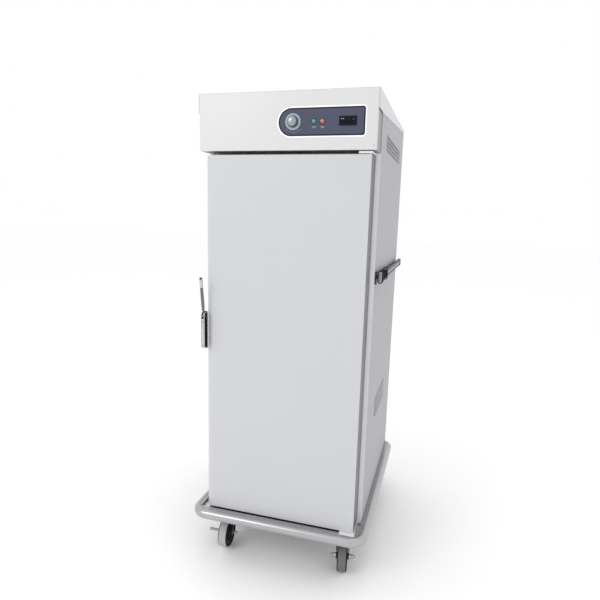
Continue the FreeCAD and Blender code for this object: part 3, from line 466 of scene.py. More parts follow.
# ---- body shell ----
def bumper():
    """Half-round hoop with a groove inside the round and a flat inner lip that meets the deck."""
    low, high = cad("bumper_rail")
    deck_low, deck_high = cad("deck_plate")
    gap = 0.5
    x_in, y_front, y_back = deck_high.x + gap, deck_low.y - gap, deck_high.y + gap
    stations = rounded(rectangle(low.x, high.x, low.y, high.y), BUMPER_CORNER_R, 20)
    tall = high.z - low.z
    arc_steps = 8
    outer = []
    for k in range(arc_steps + 1):
        a = math.pi / 2 * k / arc_steps
        outer.append((BUMPER_ROUND * (1 - math.sin(a)), BUMPER_ROUND * (1 - math.cos(a))))
    outer += [(d, tall - z) for d, z in reversed(outer)]
    groove = [(21.0, tall), (22.0, tall - 2.6), (25.0, tall - 2.6), (26.0, tall - 0.4)]
    sections = []
    for i, (x, y) in enumerate(stations):
        here = Vector((x, y))
        before, after = Vector(stations[i - 1]), Vector(stations[(i + 1) % len(stations)])
        tangent = ((here - before).normalized() + (after - here).normalized()).normalized()
        inward = Vector((-tangent.y, tangent.x))
        depth = 0.0
        if abs(inward.x) > 1e-4:
            depth = max(depth, (abs(x) - x_in) / abs(inward.x))
        if abs(inward.y) > 1e-4:
            edge = y_front if inward.y > 0 else y_back
            depth = max(depth, (edge - y) / inward.y)
        lip = [(depth - 3.0, tall - 0.4), (depth - 2.2, tall - 1.4), (depth, tall - 1.4), (depth, 0.0)]
        sections.append([(x + inward.x * min(d, depth), y + inward.y * min(d, depth), low.z + z)
                         for d, z in outer + groove + lip])
    bm = bmesh.new()
    loft(bm, sections, closed_path=True)
    piece("bumper_hoop", bm, "bumper_alloy", "cabinet", ["bumper_rail"], angle=40)


def door_front():
    """Painted skin with a rounded opening edge."""
    low, high = cad("door_skin")
    t = SHEET_T
    steps = 24
    cx, cy = low.x + DOOR_EDGE_R, low.y + DOOR_EDGE_R
    arc_out, arc_in = [], []
    for k in range(steps + 1):
        a = math.pi / 2 * k / steps
        for arc, r in ((arc_out, DOOR_EDGE_R), (arc_in, DOOR_EDGE_R - t)):
            arc.append((cx - r * math.sin(a), cy - r * math.cos(a)))
    outline = [(high.x, low.y + t), (high.x, low.y)] + arc_out + [(low.x, high.y), (low.x + t, high.y)]
    bm = bmesh.new()
    prism(bm, outline + arc_in[::-1], plane_xy, low.z, high.z)
    piece("door_front", bm, "door_paint", "door", ["door_skin"], bevel=0.35)


def head_front():
    """Front sheet of the control head with side and bottom returns."""
    low, high = cad("header_fascia")
    t = HEAD_SHEET_T
    u_shape = [(low.x, high.y), (low.x, low.y), (high.x, low.y), (high.x, high.y),
               (high.x - t, high.y), (high.x - t, low.y + t), (low.x + t, low.y + t), (low.x + t, high.y)]
    outline = rounded(u_shape, (0, BEND_R, BEND_R, 0, 0, 0.6, 0.6, 0))
    bm = bmesh.new()
    prism(bm, outline, plane_xy, low.z, high.z)
    block(bm, (low.x + t, low.y + t, low.z), (high.x - t, high.y, low.z + t))
    piece("head_front", bm, "painted_sheet", "cabinet", ["header_fascia"], bevel=0.5)


def roof_cover():
    """Roof sheet with folded side flanges that taper to the rear and close on the head in front."""
    low, high = cad("top_cover")
    head_x = cad("header_fascia")[1].x
    face = cad("side_panel_right")[0].y
    t = HEAD_SHEET_T
    outer = high.x
    sections = []
    for y, foot in ((low.y + t, low.z), (face, low.z), (high.y, high.z - FLANGE_REAR)):
        path = [(-outer, foot), (-outer, high.z - BEND_R), (-outer + 0.7, high.z - 0.7),
                (-outer + BEND_R, high.z)]
        path += [(-x, z) for x, z in reversed(path)]
        inside = [(x * (outer - 1.4) / outer, min(z, high.z - t)) for x, z in reversed(path)]
        sections.append([(x, y, z) for x, z in path + inside])
    bm = bmesh.new()
    loft(bm, sections)
    block(bm, (-head_x, low.y, high.z - t), (head_x, low.y + t + 0.1, high.z))
    for side in (-1, 1):
        side_block(bm, side, (head_x + 0.1, outer - 0.2), (low.y + t, low.y + t + 1.2), (low.z, high.z - t))
    piece("roof_cover", bm, "roof_paint", "cabinet", ["top_cover"], bevel=0.4)


def front_edges():
    """Bright strips down the body's front flanges, beside the door: a painted highlight for the side panels'
    lit front edges.
    """
    low, high = cad("side_panel_right")
    door_side = cad("door_edge_frame")[1].x
    top = cad("header_fascia")[0].z
    bm = bmesh.new()
    for side in (-1, 1):
        side_block(bm, side, (door_side + 0.6, high.x - 0.1), (low.y - 0.7, low.y), (low.z + 4, top - 1))
    piece("front_highlight_beads", bm, "edge_painted_highlight", "cabinet", bevel=0.3)


# ---- control plate ----
def plate_outline(low, high, grow):
    """Half-round at the left, small corners at the right; grow moves the edge out."""
    u0, u1, v0, v1 = low.x - grow, high.x + grow, low.z - grow, high.z + grow
    half = (v1 - v0) / 2
    return rounded(rectangle(u0, u1, v0, v1), (half * 0.999, 8 + grow, 8 + grow, half * 0.999), 20)


def control_plate():
    low, high = cad("control_plate")
    for name, look, slot, grow, front, back in (
        # the surround takes the brightened white, partly a painted highlight
        ("plate_surround", "plate_white_highlight", "painted_sheet", 5.0, low.y + 0.7, high.y),
        ("plate_rim", "plate_border", "control_slate", 0.0, low.y + 0.25, high.y),
        ("plate_face", "control_slate", "control_slate", -5.0, low.y, high.y),
    ):
        bm = bmesh.new()
        prism(bm, plate_outline(low, high, grow), plane_xz, front, back)
        replaced = ["control_plate"] if name == "plate_face" else []
        piece(name, bm, look, "cabinet", replaced, bevel=0.3)


def control_marks():
    """Generic ticks: an arc round the knob and bars under the lamps."""
    plate_low, _ = cad("control_plate")
    knob_low, knob_high = cad("thermostat_knob")
    centre = (knob_low + knob_high) / 2
    ring = (knob_high.x - knob_low.x) / 2 + 5.0
    raised = 0.15
    face = plate_low.y
    bm = bmesh.new()
    for k in range(KNOB_MARKS):
        angle = math.radians(140 + 80 * k / (KNOB_MARKS - 1))
        out = Vector((math.sin(angle), 0, math.cos(angle)))
        side = Vector((out.z, 0, -out.x))
        long, wide = (3.4, 0.75) if k % 5 == 0 else (2.2, 0.45)
        root = Vector((centre.x, face, centre.z)) + out * ring
        section = [root + out * a + side * b for a, b in rectangle(0, long, -wide, wide)]
        loft(bm, [section, [p - Vector((0, raised, 0)) for p in section]])
    for lamp in ("lamp_green", "lamp_red"):
        lamp_low, lamp_high = cad(lamp)
        mid = (lamp_low.x + lamp_high.x) / 2
        for k, wide in enumerate((7.5, 5.0)):
            z = lamp_low.z - 11 - 3.6 * k
            block(bm, (mid - wide, face - raised, z), (mid + wide, face, z + 1.3))
    piece("plate_marks", bm, "plate_marks", "cabinet")


def knob():
    """Dial: stepped skirt, fluted grip, domed metal cap and a pointer line."""
    low, high = cad("thermostat_knob")
    centre = Vector(((low.x + high.x) / 2, high.y, (low.z + high.z) / 2))

    def flutes(radius, along, angle):
        return 0.45 * math.cos(KNOB_FLUTES * angle) if 6.0 < along < 15.0 and radius > 15 else 0.0

    skirt = [(3.2, 0), (28.5, 0), (28.5, 2.2), (28.0, 3.2), (26.8, 3.9), (24.6, 4.3), (22.4, 4.3),
             (20.6, 3.6), (18.0, 3.6), (3.2, 3.6)]
    grip = [(3.2, 3.5), (20.2, 3.5), (19.6, 5.0), (19.0, 6.6), (18.5, 9.0), (18.0, 12.0), (17.5, 14.4),
            (16.8, 15.6), (3.2, 15.6)]
    dome = [(15.6, 15.2), (16.2, 15.9), (16.2, 17.0), (15.3, 18.2), (13.0, 19.8), (9.5, 21.0), (5.0, 21.8),
            (0, 22.0)]
    bm = bmesh.new()
    lathe(bm, skirt, centre, FRONT, 96, closed=True)
    piece("knob_skirt", bm, "knob_plastic", "knob", ["thermostat_knob"], angle=50)
    bm = bmesh.new()
    lathe(bm, grip, centre, FRONT, 192, closed=True, ripple=flutes)
    piece("knob_body", bm, "knob_grip", "knob", angle=40)
    bm = bmesh.new()
    lathe(bm, dome, centre, FRONT, 72)
    piece("knob_dome", bm, "knob_cap", "knob", angle=50)
    bm = bmesh.new()
    block(bm, centre + Vector((-0.9, -4.6, 20.5)), centre + Vector((0.9, -2.4, 26.5)))
    piece("knob_pointer", bm, "plate_marks", "knob", bevel=0.2)


def lamps():
    """Two faceted lenses, each in a turned ring."""
    def facets(radius, along, angle):
        return 0.12 * math.cos(16 * angle) if 2.7 < along < 5.2 else 0.0

    lens = [(0, -LAMP_DEPTH), (5.2, -LAMP_DEPTH), (5.2, 0.0), (LENS_R, 0.0), (LENS_R, 2.6), (6.9, 4.0),
            (5.6, 5.0), (3.4, 5.6), (0, 5.8)]
    ring = [(BEZEL_R, 0.0), (BEZEL_R, 1.3), (BEZEL_R - 0.9, 2.2), (8.6, 2.2), (7.7, 1.4), (7.7, 0.0)]
    rings = bmesh.new()
    for colour in ("green", "red"):
        low, high = cad(f"lamp_{colour}")
        centre = Vector(((low.x + high.x) / 2, high.y - LAMP_DEPTH, (low.z + high.z) / 2))
        bm = bmesh.new()
        lathe(bm, lens, centre, FRONT, 48, ripple=facets)
        piece(f"lens_{colour}", bm, f"lens_{colour}", "cabinet", [f"lamp_{colour}"])
        lathe(rings, ring, centre, FRONT, 56, closed=True)
    piece("lamp_rings", rings, "lamp_ring", "cabinet", ["lamp_bezels"], angle=40)


def display():
    """Panel thermometer: bezel, sunken dark window and a short scale."""
    low, high = cad("thermometer")
    face = low.y

    def inset(margin, radius):
        return rounded(rectangle(low.x + margin, high.x - margin, low.z + margin, high.z - margin), radius)

    rows = [(inset(0, 2.4), 3.0), (inset(0, 2.4), 0.8), (inset(0.8, 1.8), 0.0), (inset(4, 1.2), 0.0),
            (inset(5, 1.0), 1.3)]
    bm = bmesh.new()
    loft(bm, [[plane_xz(u, v, face + depth) for u, v in ring] for ring, depth in rows])
    block(bm, (low.x + 4.2, face + 3.0, low.z + 3.2), (high.x - 4.2, high.y, high.z - 3.2))
    piece("display_bezel", bm, "display_frame", "cabinet", ["thermometer"])
    bm = bmesh.new()
    prism(bm, inset(5.1, 0.9), plane_xz, face + 0.9, face + 1.25)
    piece("display_window", bm, "display_glass", "cabinet", bevel=0.1)
    # marks, each (x, z, width, height) from the window's middle
    marks = [(-22.0, 7.0, 4.6, 2.2), (-15.6, 7.0, 4.6, 2.2), (19.0, 4.6, 2.2, 2.2)]
    marks += [(-8.0 + 3.0 * k, 4.4, 0.7, 0.5) for k in range(6)]
    bm = bmesh.new()
    for x, z, wide, tall in marks:
        x += (low.x + high.x) / 2
        z += (low.z + high.z) / 2
        outline = rounded(rectangle(x - wide / 2, x + wide / 2, z - tall / 2, z + tall / 2), 0.2)
        prism(bm, outline, plane_xz, face + 0.75, face + 0.92)
    piece("display_scale", bm, "plate_marks", "cabinet")


# ---- latch ----
def latch():
    """Plated case on a black spacer, slotted at its top for the lever, with a black plate over the case's
    right cheek as painted shade.
    """
    low, high = cad("latch_base")
    pin_low, pin_high = cad("latch_pin")
    pivot = (pin_low + pin_high) / 2
    x_mid = (low.x + high.x) / 2
    half_x = high.x - x_mid
    face, front = cad("door_skin")[0].y, low.y
    back = face - 1.6
    half_slot = 4.2
    slot_foot = pivot.z - 9.5
    foot, head = low.z + 1, high.z - 1
    bm = bmesh.new()
    cheek = rounded([(back, foot), (back, head), (front, head), (front, foot)], (0, 1, 9, 12), 10)
    for side in (-1, 1):
        prism(bm, cheek, plane_yz, *sorted((x_mid + side * half_slot, x_mid + side * half_x)))
    core = rounded([(back, foot), (back, slot_foot), (front, slot_foot), (front, foot)], (0, 0, 3, 12), 10)
    prism(bm, core, plane_yz, x_mid - half_slot, x_mid + half_slot)
    piece("latch_case", bm, "chrome_fittings", "door", ["latch_base"], bevel=0.9, segments=3)

    bm = bmesh.new()
    spacer = rounded(rectangle(low.x - 0.6, high.x + 1.6, low.z - 1.5, high.z + 1.5), 4.0)
    prism(bm, spacer, plane_xz, face - 2.4, face - 0.05)
    # painted shade: a black plate over the case's right cheek, where the side of the case is in shade
    web = [(face - 2, low.z + 2), (face - 2, high.z - 4), (front + 2, high.z - 4), (front + 2, low.z + 9)]
    prism(bm, rounded(web, (0, 0, 8, 9)), plane_yz, high.x + 0.3, high.x + 1.5)
    piece("latch_spacer_shade_cheek", bm, "matte_black", "door", bevel=0.4)

    bm, recess = bmesh.new(), bmesh.new()
    for z in (low.z + 14, pivot.z - 22):
        pan_screw(bm, (x_mid, front - 0.2, z), FRONT, 3.6, 1.9, recess)
    rivet = [(0, 2.0), (1.6, 1.9), (2.6, 1.3), (3.2, 0.6), (3.4, 0.0), (0, 0.0)]
    for side in (-1, 1):
        lathe(bm, rivet, (x_mid + side * half_x, pivot.y, pivot.z), (side, 0, 0), 28)
    pin = [(0, 0), (2.4, 0), (2.4, 2 * half_x), (0, 2 * half_x)]
    lathe(bm, pin, (low.x, pivot.y, pivot.z), (1, 0, 0), 24)
    piece("latch_screws", bm, "chrome_fittings", "door", ["latch_pin"], angle=40)
    piece("latch_screw_recess", recess, "black_plastic", "door")


def lever():
    """Hub, slim neck, broad grip, plated sleeve and a dark tip, drawn along its own leaning line."""
    pin_low, pin_high = cad("latch_pin")
    pivot = (pin_low + pin_high) / 2
    lean = math.radians(LEVER_LEAN)
    up = Vector((0, -math.sin(lean), math.cos(lean)))
    out = Vector((0, -math.cos(lean), -math.sin(lean)))
    across = Vector((1, 0, 0))

    def stem(*stations):
        """A bar through (distance up, half width, half thickness, shift forward) stations."""
        bm = bmesh.new()
        sections = []
        for along, wide, thick, shift in stations:
            ring = rounded(rectangle(-wide, wide, -thick, thick), min(wide, thick) * 0.72, 5)
            base = pivot + up * along + out * shift
            sections.append([base + across * u + out * v for u, v in ring])
        loft(bm, sections)
        return bm

    bm = stem((6, 3.3, 3.6, 0), (16, 3.3, 3.6, 0.2), (24, 4.4, 3.9, 0.4), (32, 5.6, 4.1, 0.6),
              (44, 6.2, 4.1, 0.6), (80, 6.0, 3.9, 0.4), (112, 5.6, 3.8, 0.3), (118, 5.4, 3.7, 0.3))
    hub = [(2.56, -3.4), (8.2, -3.4), (8.5, -3.0), (8.5, 3.0), (8.2, 3.4), (2.56, 3.4)]
    lathe(bm, hub, pivot, (1, 0, 0), 48, closed=True)
    piece("lever_arm", bm, "zinc_steel", "lever", ["latch_lever"], bevel=0.4)
    bm = stem((117.5, 6.0, 4.3, 0.3), (119.0, 6.3, 4.5, 0.3), (140, 6.2, 4.3, 0.3), (149, 5.6, 3.9, 0.3),
              (151, 5.0, 3.4, 0.3))
    piece("lever_sleeve", bm, "chrome_fittings", "lever", bevel=0.4)
    bm = stem((150.5, 5.2, 3.6, 0.3), (152, 5.5, 3.9, 0.3), (155.5, 5.0, 3.5, 0.3), (157.6, 3.4, 2.2, 0.3))
    piece("lever_tip", bm, "black_plastic", "lever", bevel=0.3)


# ---- side handles and vents ----
def handle_rings(side, middle, halves, radius, rows):
    """Rounded outlines across a handle at (y, shrink) rows; middle and halves are (x, z)."""
    rings = []
    for y, shrink in rows:
        u, v = halves[0] - shrink, halves[1] - shrink
        outline = rectangle(middle[0] - u, middle[0] + u, middle[1] - v, middle[1] + v)
        rings.append([(side * x, y, z) for x, z in rounded(outline, radius - shrink * 0.5)])
    return rings


def handles():
    """Push bars with black strips painting the shadow lines along their edges, two oval clamps near the front
    and a rear standoff.
    """
    low, high = cad("side_handles")
    clamp_low, clamp_high = cad("handle_collars")
    wall = cad("side_panel_right")[1].x
    half_x = 6.0
    x_mid, z_mid, v = high.x - half_x, (low.z + high.z) / 2, (high.z - low.z) / 2
    middle = (x_mid, z_mid)
    oval_size = (clamp_high.x - x_mid, (clamp_high.z - clamp_low.z) / 2)
    spots = [low.y + along for along in CLAMP_SPOTS]
    bars, strips, clamps, liners, caps = (bmesh.new() for _ in range(5))

    # half of the bar's upper edge, and its grooved outer face, as (distance in, height)
    edge = [(0, v - 1.6), (-0.8, v - 0.5), (-2.4, v), (-9.4, v), (-11.4, v - 1.2), (-12, v - 3.4)]
    face = [(0, -v + 2.2), (-1.0, -v + 2.2), (-1.0, -v + 6.4), (0, -v + 6.4), (0, -6.0), (-1.6, -4.6),
            (-1.6, 4.6), (0, 6.0), (0, v - 6.4), (-1.0, v - 6.4), (-1.0, v - 2.2), (0, v - 2.2)]
    section = edge + [(d, -z) for d, z in reversed(edge)] + face
    foot = [(0, 0), (11.5, 0), (11.5, 1.6), (9.4, 2.6), (8.6, 4.0), (8.6, 9.5), (0, 9.5)]
    reach = high.x - 12.1 - wall
    standoff = [(0, 0), (12.5, 0), (12.5, 1.8), (10.0, 3.0), (8.8, 4.4), (8.8, reach), (0, reach)]

    for side in (-1, 1):
        def oval(*rows):
            return handle_rings(side, middle, oval_size, CLAMP_CORNER_R, rows)

        def hole(y):
            return handle_rings(side, middle, (half_x + 0.15, v + 0.15), 5.0, [(y, 0)])

        loft(bars, [[(side * (high.x + d), y, z_mid + z) for d, z in section] for y in (low.y, high.y)])
        # painted shadow: black strips in the bar's edge grooves and on its top and bottom faces stand for the
        # dark lines of shade along its edges
        run = (spots[1] + 14, high.y - 0.5)
        for up in (-1, 1):
            inner = sorted((z_mid + up * (v - 6.3), z_mid + up * (v - 2.3)))
            side_block(strips, side, (high.x - 0.95, high.x + 0.3), run, inner)
            outer = sorted((z_mid + up * (v + 0.05), z_mid + up * (v + 0.45)))
            side_block(strips, side, (x_mid - 3.0, high.x - 2.6), run, outer)
        for y in spots:
            core = oval((y - 6, 2.2), (y + 6, 2.2))
            loft(clamps, hole(y - 6) + core + hole(y + 6), closed_path=True)
            band = oval((y - 11, 2.1), (y - 11, 0), (y + 11, 0), (y + 11, 2.1))
            loft(liners, band, closed_path=True)
            front = oval((y - 6.1, 2.2), (y - 11.2, 2.2), (y - 11.8, 3.0))
            loft(clamps, hole(y - 6.1) + front + hole(y - 11.8), closed_path=True)
            lathe(clamps, foot, (side * wall, y, z_mid), (side, 0, 0), 40)
        lathe(clamps, standoff, (side * wall, clamp_high.y - 9, z_mid), (side, 0, 0), 40)

        # end caps, and the plain disc on the front one
        rows = [(high.y, 0.0), (high.y + 5.5, 0.0), (high.y + 7.2, 1.2), (high.y + 8.0, 3.0)]
        loft(caps, handle_rings(side, middle, (8.0, 17.5), 6.0, rows))
        loft(caps, oval((low.y, 0.0), (low.y - 6.4, 0.0), (low.y - 7.6, 0.8), (low.y - 8.0, 1.6)))
        loft(clamps, oval((low.y - 7.9, 3.4), (low.y - 8.7, 3.4), (low.y - 9.1, 4.2)))

        # ribbed black sleeve between the two clamps
        first, last, pitch = spots[0] + 12, spots[1] - 12, 4.0
        for k in range(int((last - first) / pitch) + 1):
            y = first + k * pitch
            rows = [(-1.0, 0.6), (-0.7, 0.0), (0.7, 0.0), (1.0, 0.6), (2.0, 1.1), (3.0, 1.1)]
            rib = handle_rings(side, middle, (8.0, 17.2), 7.0, [(y + at, shrink) for at, shrink in rows])
            loft(caps, hole(y - 1.0) + rib + hole(y + 3.0), closed_path=True)

        # toothed pad on the wall ahead of the first clamp
        for k in range(6):
            z = z_mid - 21 + 8.4 * k
            tooth = rounded(rectangle(low.y - 34, low.y - 12, z - 3.6, z), 1.0)
            prism(caps, tooth, plane_yz, *sorted((side * wall, side * (wall + 6.5))))
    piece("handle_bars", bars, "rail_alloy", "cabinet", ["side_handles"], bevel=0.25)
    piece("handle_shadow_strips", strips, "matte_black", "cabinet", bevel=0.1)
    piece("handle_clamps", clamps, "clamp_grey", "cabinet", ["handle_collars"],
          bevel=0.4)
    piece("handle_clamp_liners", liners, "matte_black", "cabinet", bevel=0.3)
    piece("handle_end_caps", caps, "matte_black", "cabinet", ["handle_caps"],
          bevel=0.35)


def vents():
    """Pressed louvre panels on the right side, with a raised rim, where the CAD has its two panels."""
    wall = cad("side_panel_right")[1].x
    points = [v.co / MM for v in frame["nodes"]["side_vents"].data.vertices]
    levels = sorted({round(p.z, 2) for p in points})
    split = max(range(1, len(levels)), key=lambda i: levels[i] - levels[i - 1])
    base = wall + 1.0
    lip = [(0, 0), (4.2, 0.2), (4.4, 1.2), (2.9, 4.4), (1.2, 7.6), (0, 9.0)]
    bm = bmesh.new()
    for z0, z1 in ((levels[0], levels[split - 1]), (levels[split], levels[-1])):
        ys = [p.y for p in points if z0 - 1 < p.z < z1 + 1]
        y0, y1 = min(ys), max(ys)
        prism(bm, rounded(rectangle(y0, y1, z0, z1), 4.0), plane_yz, wall + 0.05, wall + 1.2)
        count = int((z1 - z0) // 15)
        ends = [(y0 + 9, 0.05), (y0 + 12, 0.7), (y0 + 16, 1.0)]
        ends += [(y1 - 16, 1.0), (y1 - 12, 0.7), (y1 - 9, 0.05)]
        for k in range(count):
            z = z0 + k * (z1 - z0) / count + 2.5
            loft(bm, [[(base + x * keep, y, z + h) for x, h in lip] for y, keep in ends])
    piece("louvre_panels", bm, "vent_grey", "cabinet", ["side_vents"])


def screw_heads():
    """Pan-head screws where the CAD has them, and round the back panel."""
    wall = cad("side_panel_right")[1].x
    head_low, head_high = cad("header_fascia")
    low, high = cad("back_panel")
    points = [v.co / MM for v in frame["nodes"]["screws"].data.vertices]
    points = [p for p in points if p.x > wall + 1.5]
    bm, recess = bmesh.new(), bmesh.new()
    done = []
    for point in points:
        if any((point - other).length < SCREW_REACH for other in done):
            continue
        done.append(point)
        ring = [p for p in points if (p - point).length < SCREW_REACH]
        y, z = (sum(p[axis] for p in ring) / len(ring) for axis in (1, 2))
        for side in (-1, 1):
            pan_screw(bm, (side * wall, y, z), (side, 0, 0), 4.0, 2.0, recess)
    pan_screw(bm, (head_high.x - 9.5, head_low.y, head_low.z + 14.5), FRONT, 2.1, 1.2, recess)
    margin, rows = 30, 7
    spots = []
    for k in range(rows):
        z = low.z + margin + (high.z - low.z - 2 * margin) * k / (rows - 1)
        spots += [(low.x + 12, z), (high.x - 12, z)]
    spots += [(x, z) for x in (-150, 0, 150) for z in (low.z + margin, high.z - margin)]
    for x, z in spots:
        pan_screw(bm, (x, high.y, z), REAR, 4.0, 2.0, recess)
    piece("screw_heads", bm, "chrome_fittings", "cabinet", ["screws"], angle=40)
    piece("screw_recesses", recess, "black_plastic", "cabinet")


# ---- casters ----
def fork(key, x, y, axle_y, turn):
    """Crown, raceway, dome and two pressed legs with a raised rib."""
    top, hub_z = FORK_TOP, WHEEL_R
    leg_in = TREAD_HALF + FORK_GAP
    leg_out = leg_in + FORK_T
    race = [(5.6, 0), (26.6, 0), (27.0, 0.6), (27.0, 2.2), (26.0, 2.7), (26.0, 3.3), (27.0, 3.8), (27.0, 5.6),
            (25.6, 7.4), (24.2, 11.0), (22.5, 12.0), (5.6, 12.0)]
    leg = rounded([(y + 27, top - 1), (y - 29, top - 1), (axle_y - 14, hub_z + 6), (axle_y - 14, hub_z - 14),
                   (axle_y + 12, hub_z - 14), (axle_y + 16, hub_z + 10)], (6, 6, 18, 12, 12, 18), 8)
    rib = rounded([(y + 12, top - 12), (y - 17, top - 12), (axle_y - 4, hub_z + 18),
                   (axle_y + 6, hub_z + 18)], 5)
    bm = bmesh.new()
    rounded_block(bm, (x - leg_out, y - 29, top - 4), (x + leg_out, y + 29, top), 9)
    lathe(bm, race, (x, y, top), (0, 0, 1), 72, closed=True)
    for side in (-1, 1):
        prism(bm, leg, plane_yz, *sorted((x + side * leg_in, x + side * leg_out)))
        prism(bm, rib, plane_yz, *sorted((x + side * leg_out, x + side * (leg_out + 1.1))))
    piece(f"fork_{key}", bm, "fork_black", f"caster_{key}_swivel_body", [f"caster_{key}_fork"],
          bevel=0.7, turn=turn)


def axle(key, x, axle_y, turn):
    """Threaded bolt with a washer and two nuts a side."""
    left = AXLE_LONG if key == "fl" else AXLE_HALF
    washer = [(5.05, 0), (9.2, 0), (9.5, 0.3), (9.5, 1.7), (9.2, 2.0), (5.05, 2.0)]
    bm = bmesh.new()
    threaded_rod(bm, (x - left, axle_y, WHEEL_R), (1, 0, 0), AXLE_R, left + AXLE_HALF)
    for side, end in ((-1, left), (1, AXLE_HALF)):
        base = x + side * (TREAD_HALF + FORK_GAP + FORK_T + 0.05)
        lathe(bm, washer, (base, axle_y, WHEEL_R), (side, 0, 0), 40, closed=True)
        hex_nut(bm, (base + side * 2.0, axle_y, WHEEL_R), (side, 0, 0), 15, 8)
        hex_nut(bm, (x + side * (end - 11.8), axle_y, WHEEL_R), (side, 0, 0), 15, 6)
    piece(f"axle_{key}", bm, "chrome_fittings", f"caster_{key}_swivel_body", [f"caster_{key}_axle"],
          angle=28, turn=turn)


def wheel(key, centre, turn):
    """Tyre with moulded shoulders, crowned tread band, and a hub with eight ribs a side."""
    half, body = TREAD_HALF, f"caster_{key}_wheel"
    crown = [(WHEEL_R - 1.5 * (k / 6) ** 2, half * 0.78 * k / 6) for k in range(-6, 7)]
    shoulder = [(WHEEL_R - 3.2, half * 0.93), (57.0, half), (52.5, half - 0.2), (51.4, half - 1.2),
                (49.4, half - 1.2), (48.6, half - 2.4), (47.0, half - 3.0)]
    tyre = [(r - 0.4, a) for r, a in crown] + shoulder + [(r, -a) for r, a in reversed(shoulder)]
    bm = bmesh.new()
    lathe(bm, tyre, centre, (1, 0, 0), 96, closed=True)
    piece(f"tyre_{key}", bm, "tyre_black", body, [f"caster_{key}_tyre"], turn=turn)
    bm = bmesh.new()
    lathe(bm, crown + [(r - 0.8, a) for r, a in reversed(crown)], centre, (1, 0, 0), 96, closed=True)
    # painted light: the front left tread takes the lit copy, the other treads the shaded copy
    piece(f"tread_{key}", bm, "tread_painted_lit" if key == "fl" else "tread_grey", body,
          turn=turn)

    dish = [(5.06, -half - 2.8), (11.5, -half - 2.8), (13.0, -half - 1.6), (13.4, -half + 4), (16.0, -4.0),
            (36.0, -4.0), (40.0, -half + 5.0), (41.0, -half + 3.6), (46.9, -half + 3.6)]
    rib = [(12.5, 4.0), (12.5, half - 3.5), (26.0, half - 8.0), (40.5, half - 5.0), (40.5, 4.0)]
    bm = bmesh.new()
    lathe(bm, dish + [(r, -a) for r, a in reversed(dish)], centre, (1, 0, 0), 72, closed=True)
    for k in range(8):
        a = math.pi / 4 * k
        out = Vector((0, math.cos(a), math.sin(a)))
        tangent = Vector((0, -out.z, out.y))
        for side in (-1, 1):
            depth = Vector((side, 0, 0))
            loft(bm, [[centre + out * r + depth * d + tangent * t for r, d in rib] for t in (-1.3, 1.3)])
    piece(f"hub_{key}", bm, "wheel_black", body, [f"caster_{key}_hub"], turn=turn)


def caster(key):
    """One caster, drawn pointing ahead and then turned to its yaw about its king pin."""
    joint = next(j for j in frame["joints"] if j["name"] == f"caster_{key}_swivel")
    x, y = joint["pos_m"][0] / MM, joint["pos_m"][1] / MM
    turn = ((x, y, 0), CASTER_YAWS[key])
    axle_y = y - CASTER_TRAIL
    fork(key, x, y, axle_y, turn)
    axle(key, x, axle_y, turn)
    wheel(key, Vector((x, axle_y, WHEEL_R)), turn)


# ---- soft and hidden parts ----
def seal():
    """Magnetic door seal: a bellows section swept round the opening with mitred corners."""
    low, high = cad("door_gasket")
    deep = high.y - low.y
    # distance in from the outer edge, and distance from the door as a share of the depth
    profile = [(3.0, 0.0), (2.0, 0.18), (0.2, 0.34), (0.0, 0.5), (1.6, 0.62), (0.8, 0.76), (0.6, 1), (6.0, 1),
               (13.0, 1), (19.4, 1), (19.2, 0.76), (18.2, 0.62), (20.0, 0.5), (19.8, 0.34), (18.0, 0.18),
               (17.0, 0.0), (11.0, 0.0), (10.0, 0.08), (9.0, 0.0)]
    sections = []
    for sx, sz in ((-1, -1), (1, -1), (1, 1), (-1, 1)):
        corner_x = low.x if sx < 0 else high.x
        corner_z = low.z if sz < 0 else high.z
        sections.append([(corner_x - sx * d, low.y + deep * share, corner_z - sz * d)
                         for d, share in profile])
    bm = bmesh.new()
    loft(bm, sections, closed_path=True)
    piece("door_seal", bm, "seal_rubber", "door", ["door_gasket"], angle=50)


def slab(bm, low, high, seed, swing, cell=26.0):
    """A fibrous slab: a closed block whose faces are divided and pulled in unevenly."""
    rng = random.Random(seed)
    counts = [max(1, round((high[i] - low[i]) / cell)) for i in range(3)]
    grid = {}

    def vert(i, j, k):
        key = (i, j, k)
        if key not in grid:
            p = [low[a] + (high[a] - low[a]) * n / counts[a] for a, n in enumerate(key)]
            for a, n in enumerate(key):
                if n == 0:
                    p[a] += rng.random() * swing
                elif n == counts[a]:
                    p[a] -= rng.random() * swing
            grid[key] = bm.verts.new(p)
        return grid[key]

    for axis in range(3):
        b, c = [(1, 2), (0, 2), (0, 1)][axis]
        for side in (0, counts[axis]):
            for m in range(counts[b]):
                for n in range(counts[c]):
                    quad = []
                    for dm, dn in ((0, 0), (1, 0), (1, 1), (0, 1)):
                        key = [0, 0, 0]
                        key[axis], key[b], key[c] = side, m + dm, n + dn
                        quad.append(vert(*key))
                    bm.faces.new(quad)


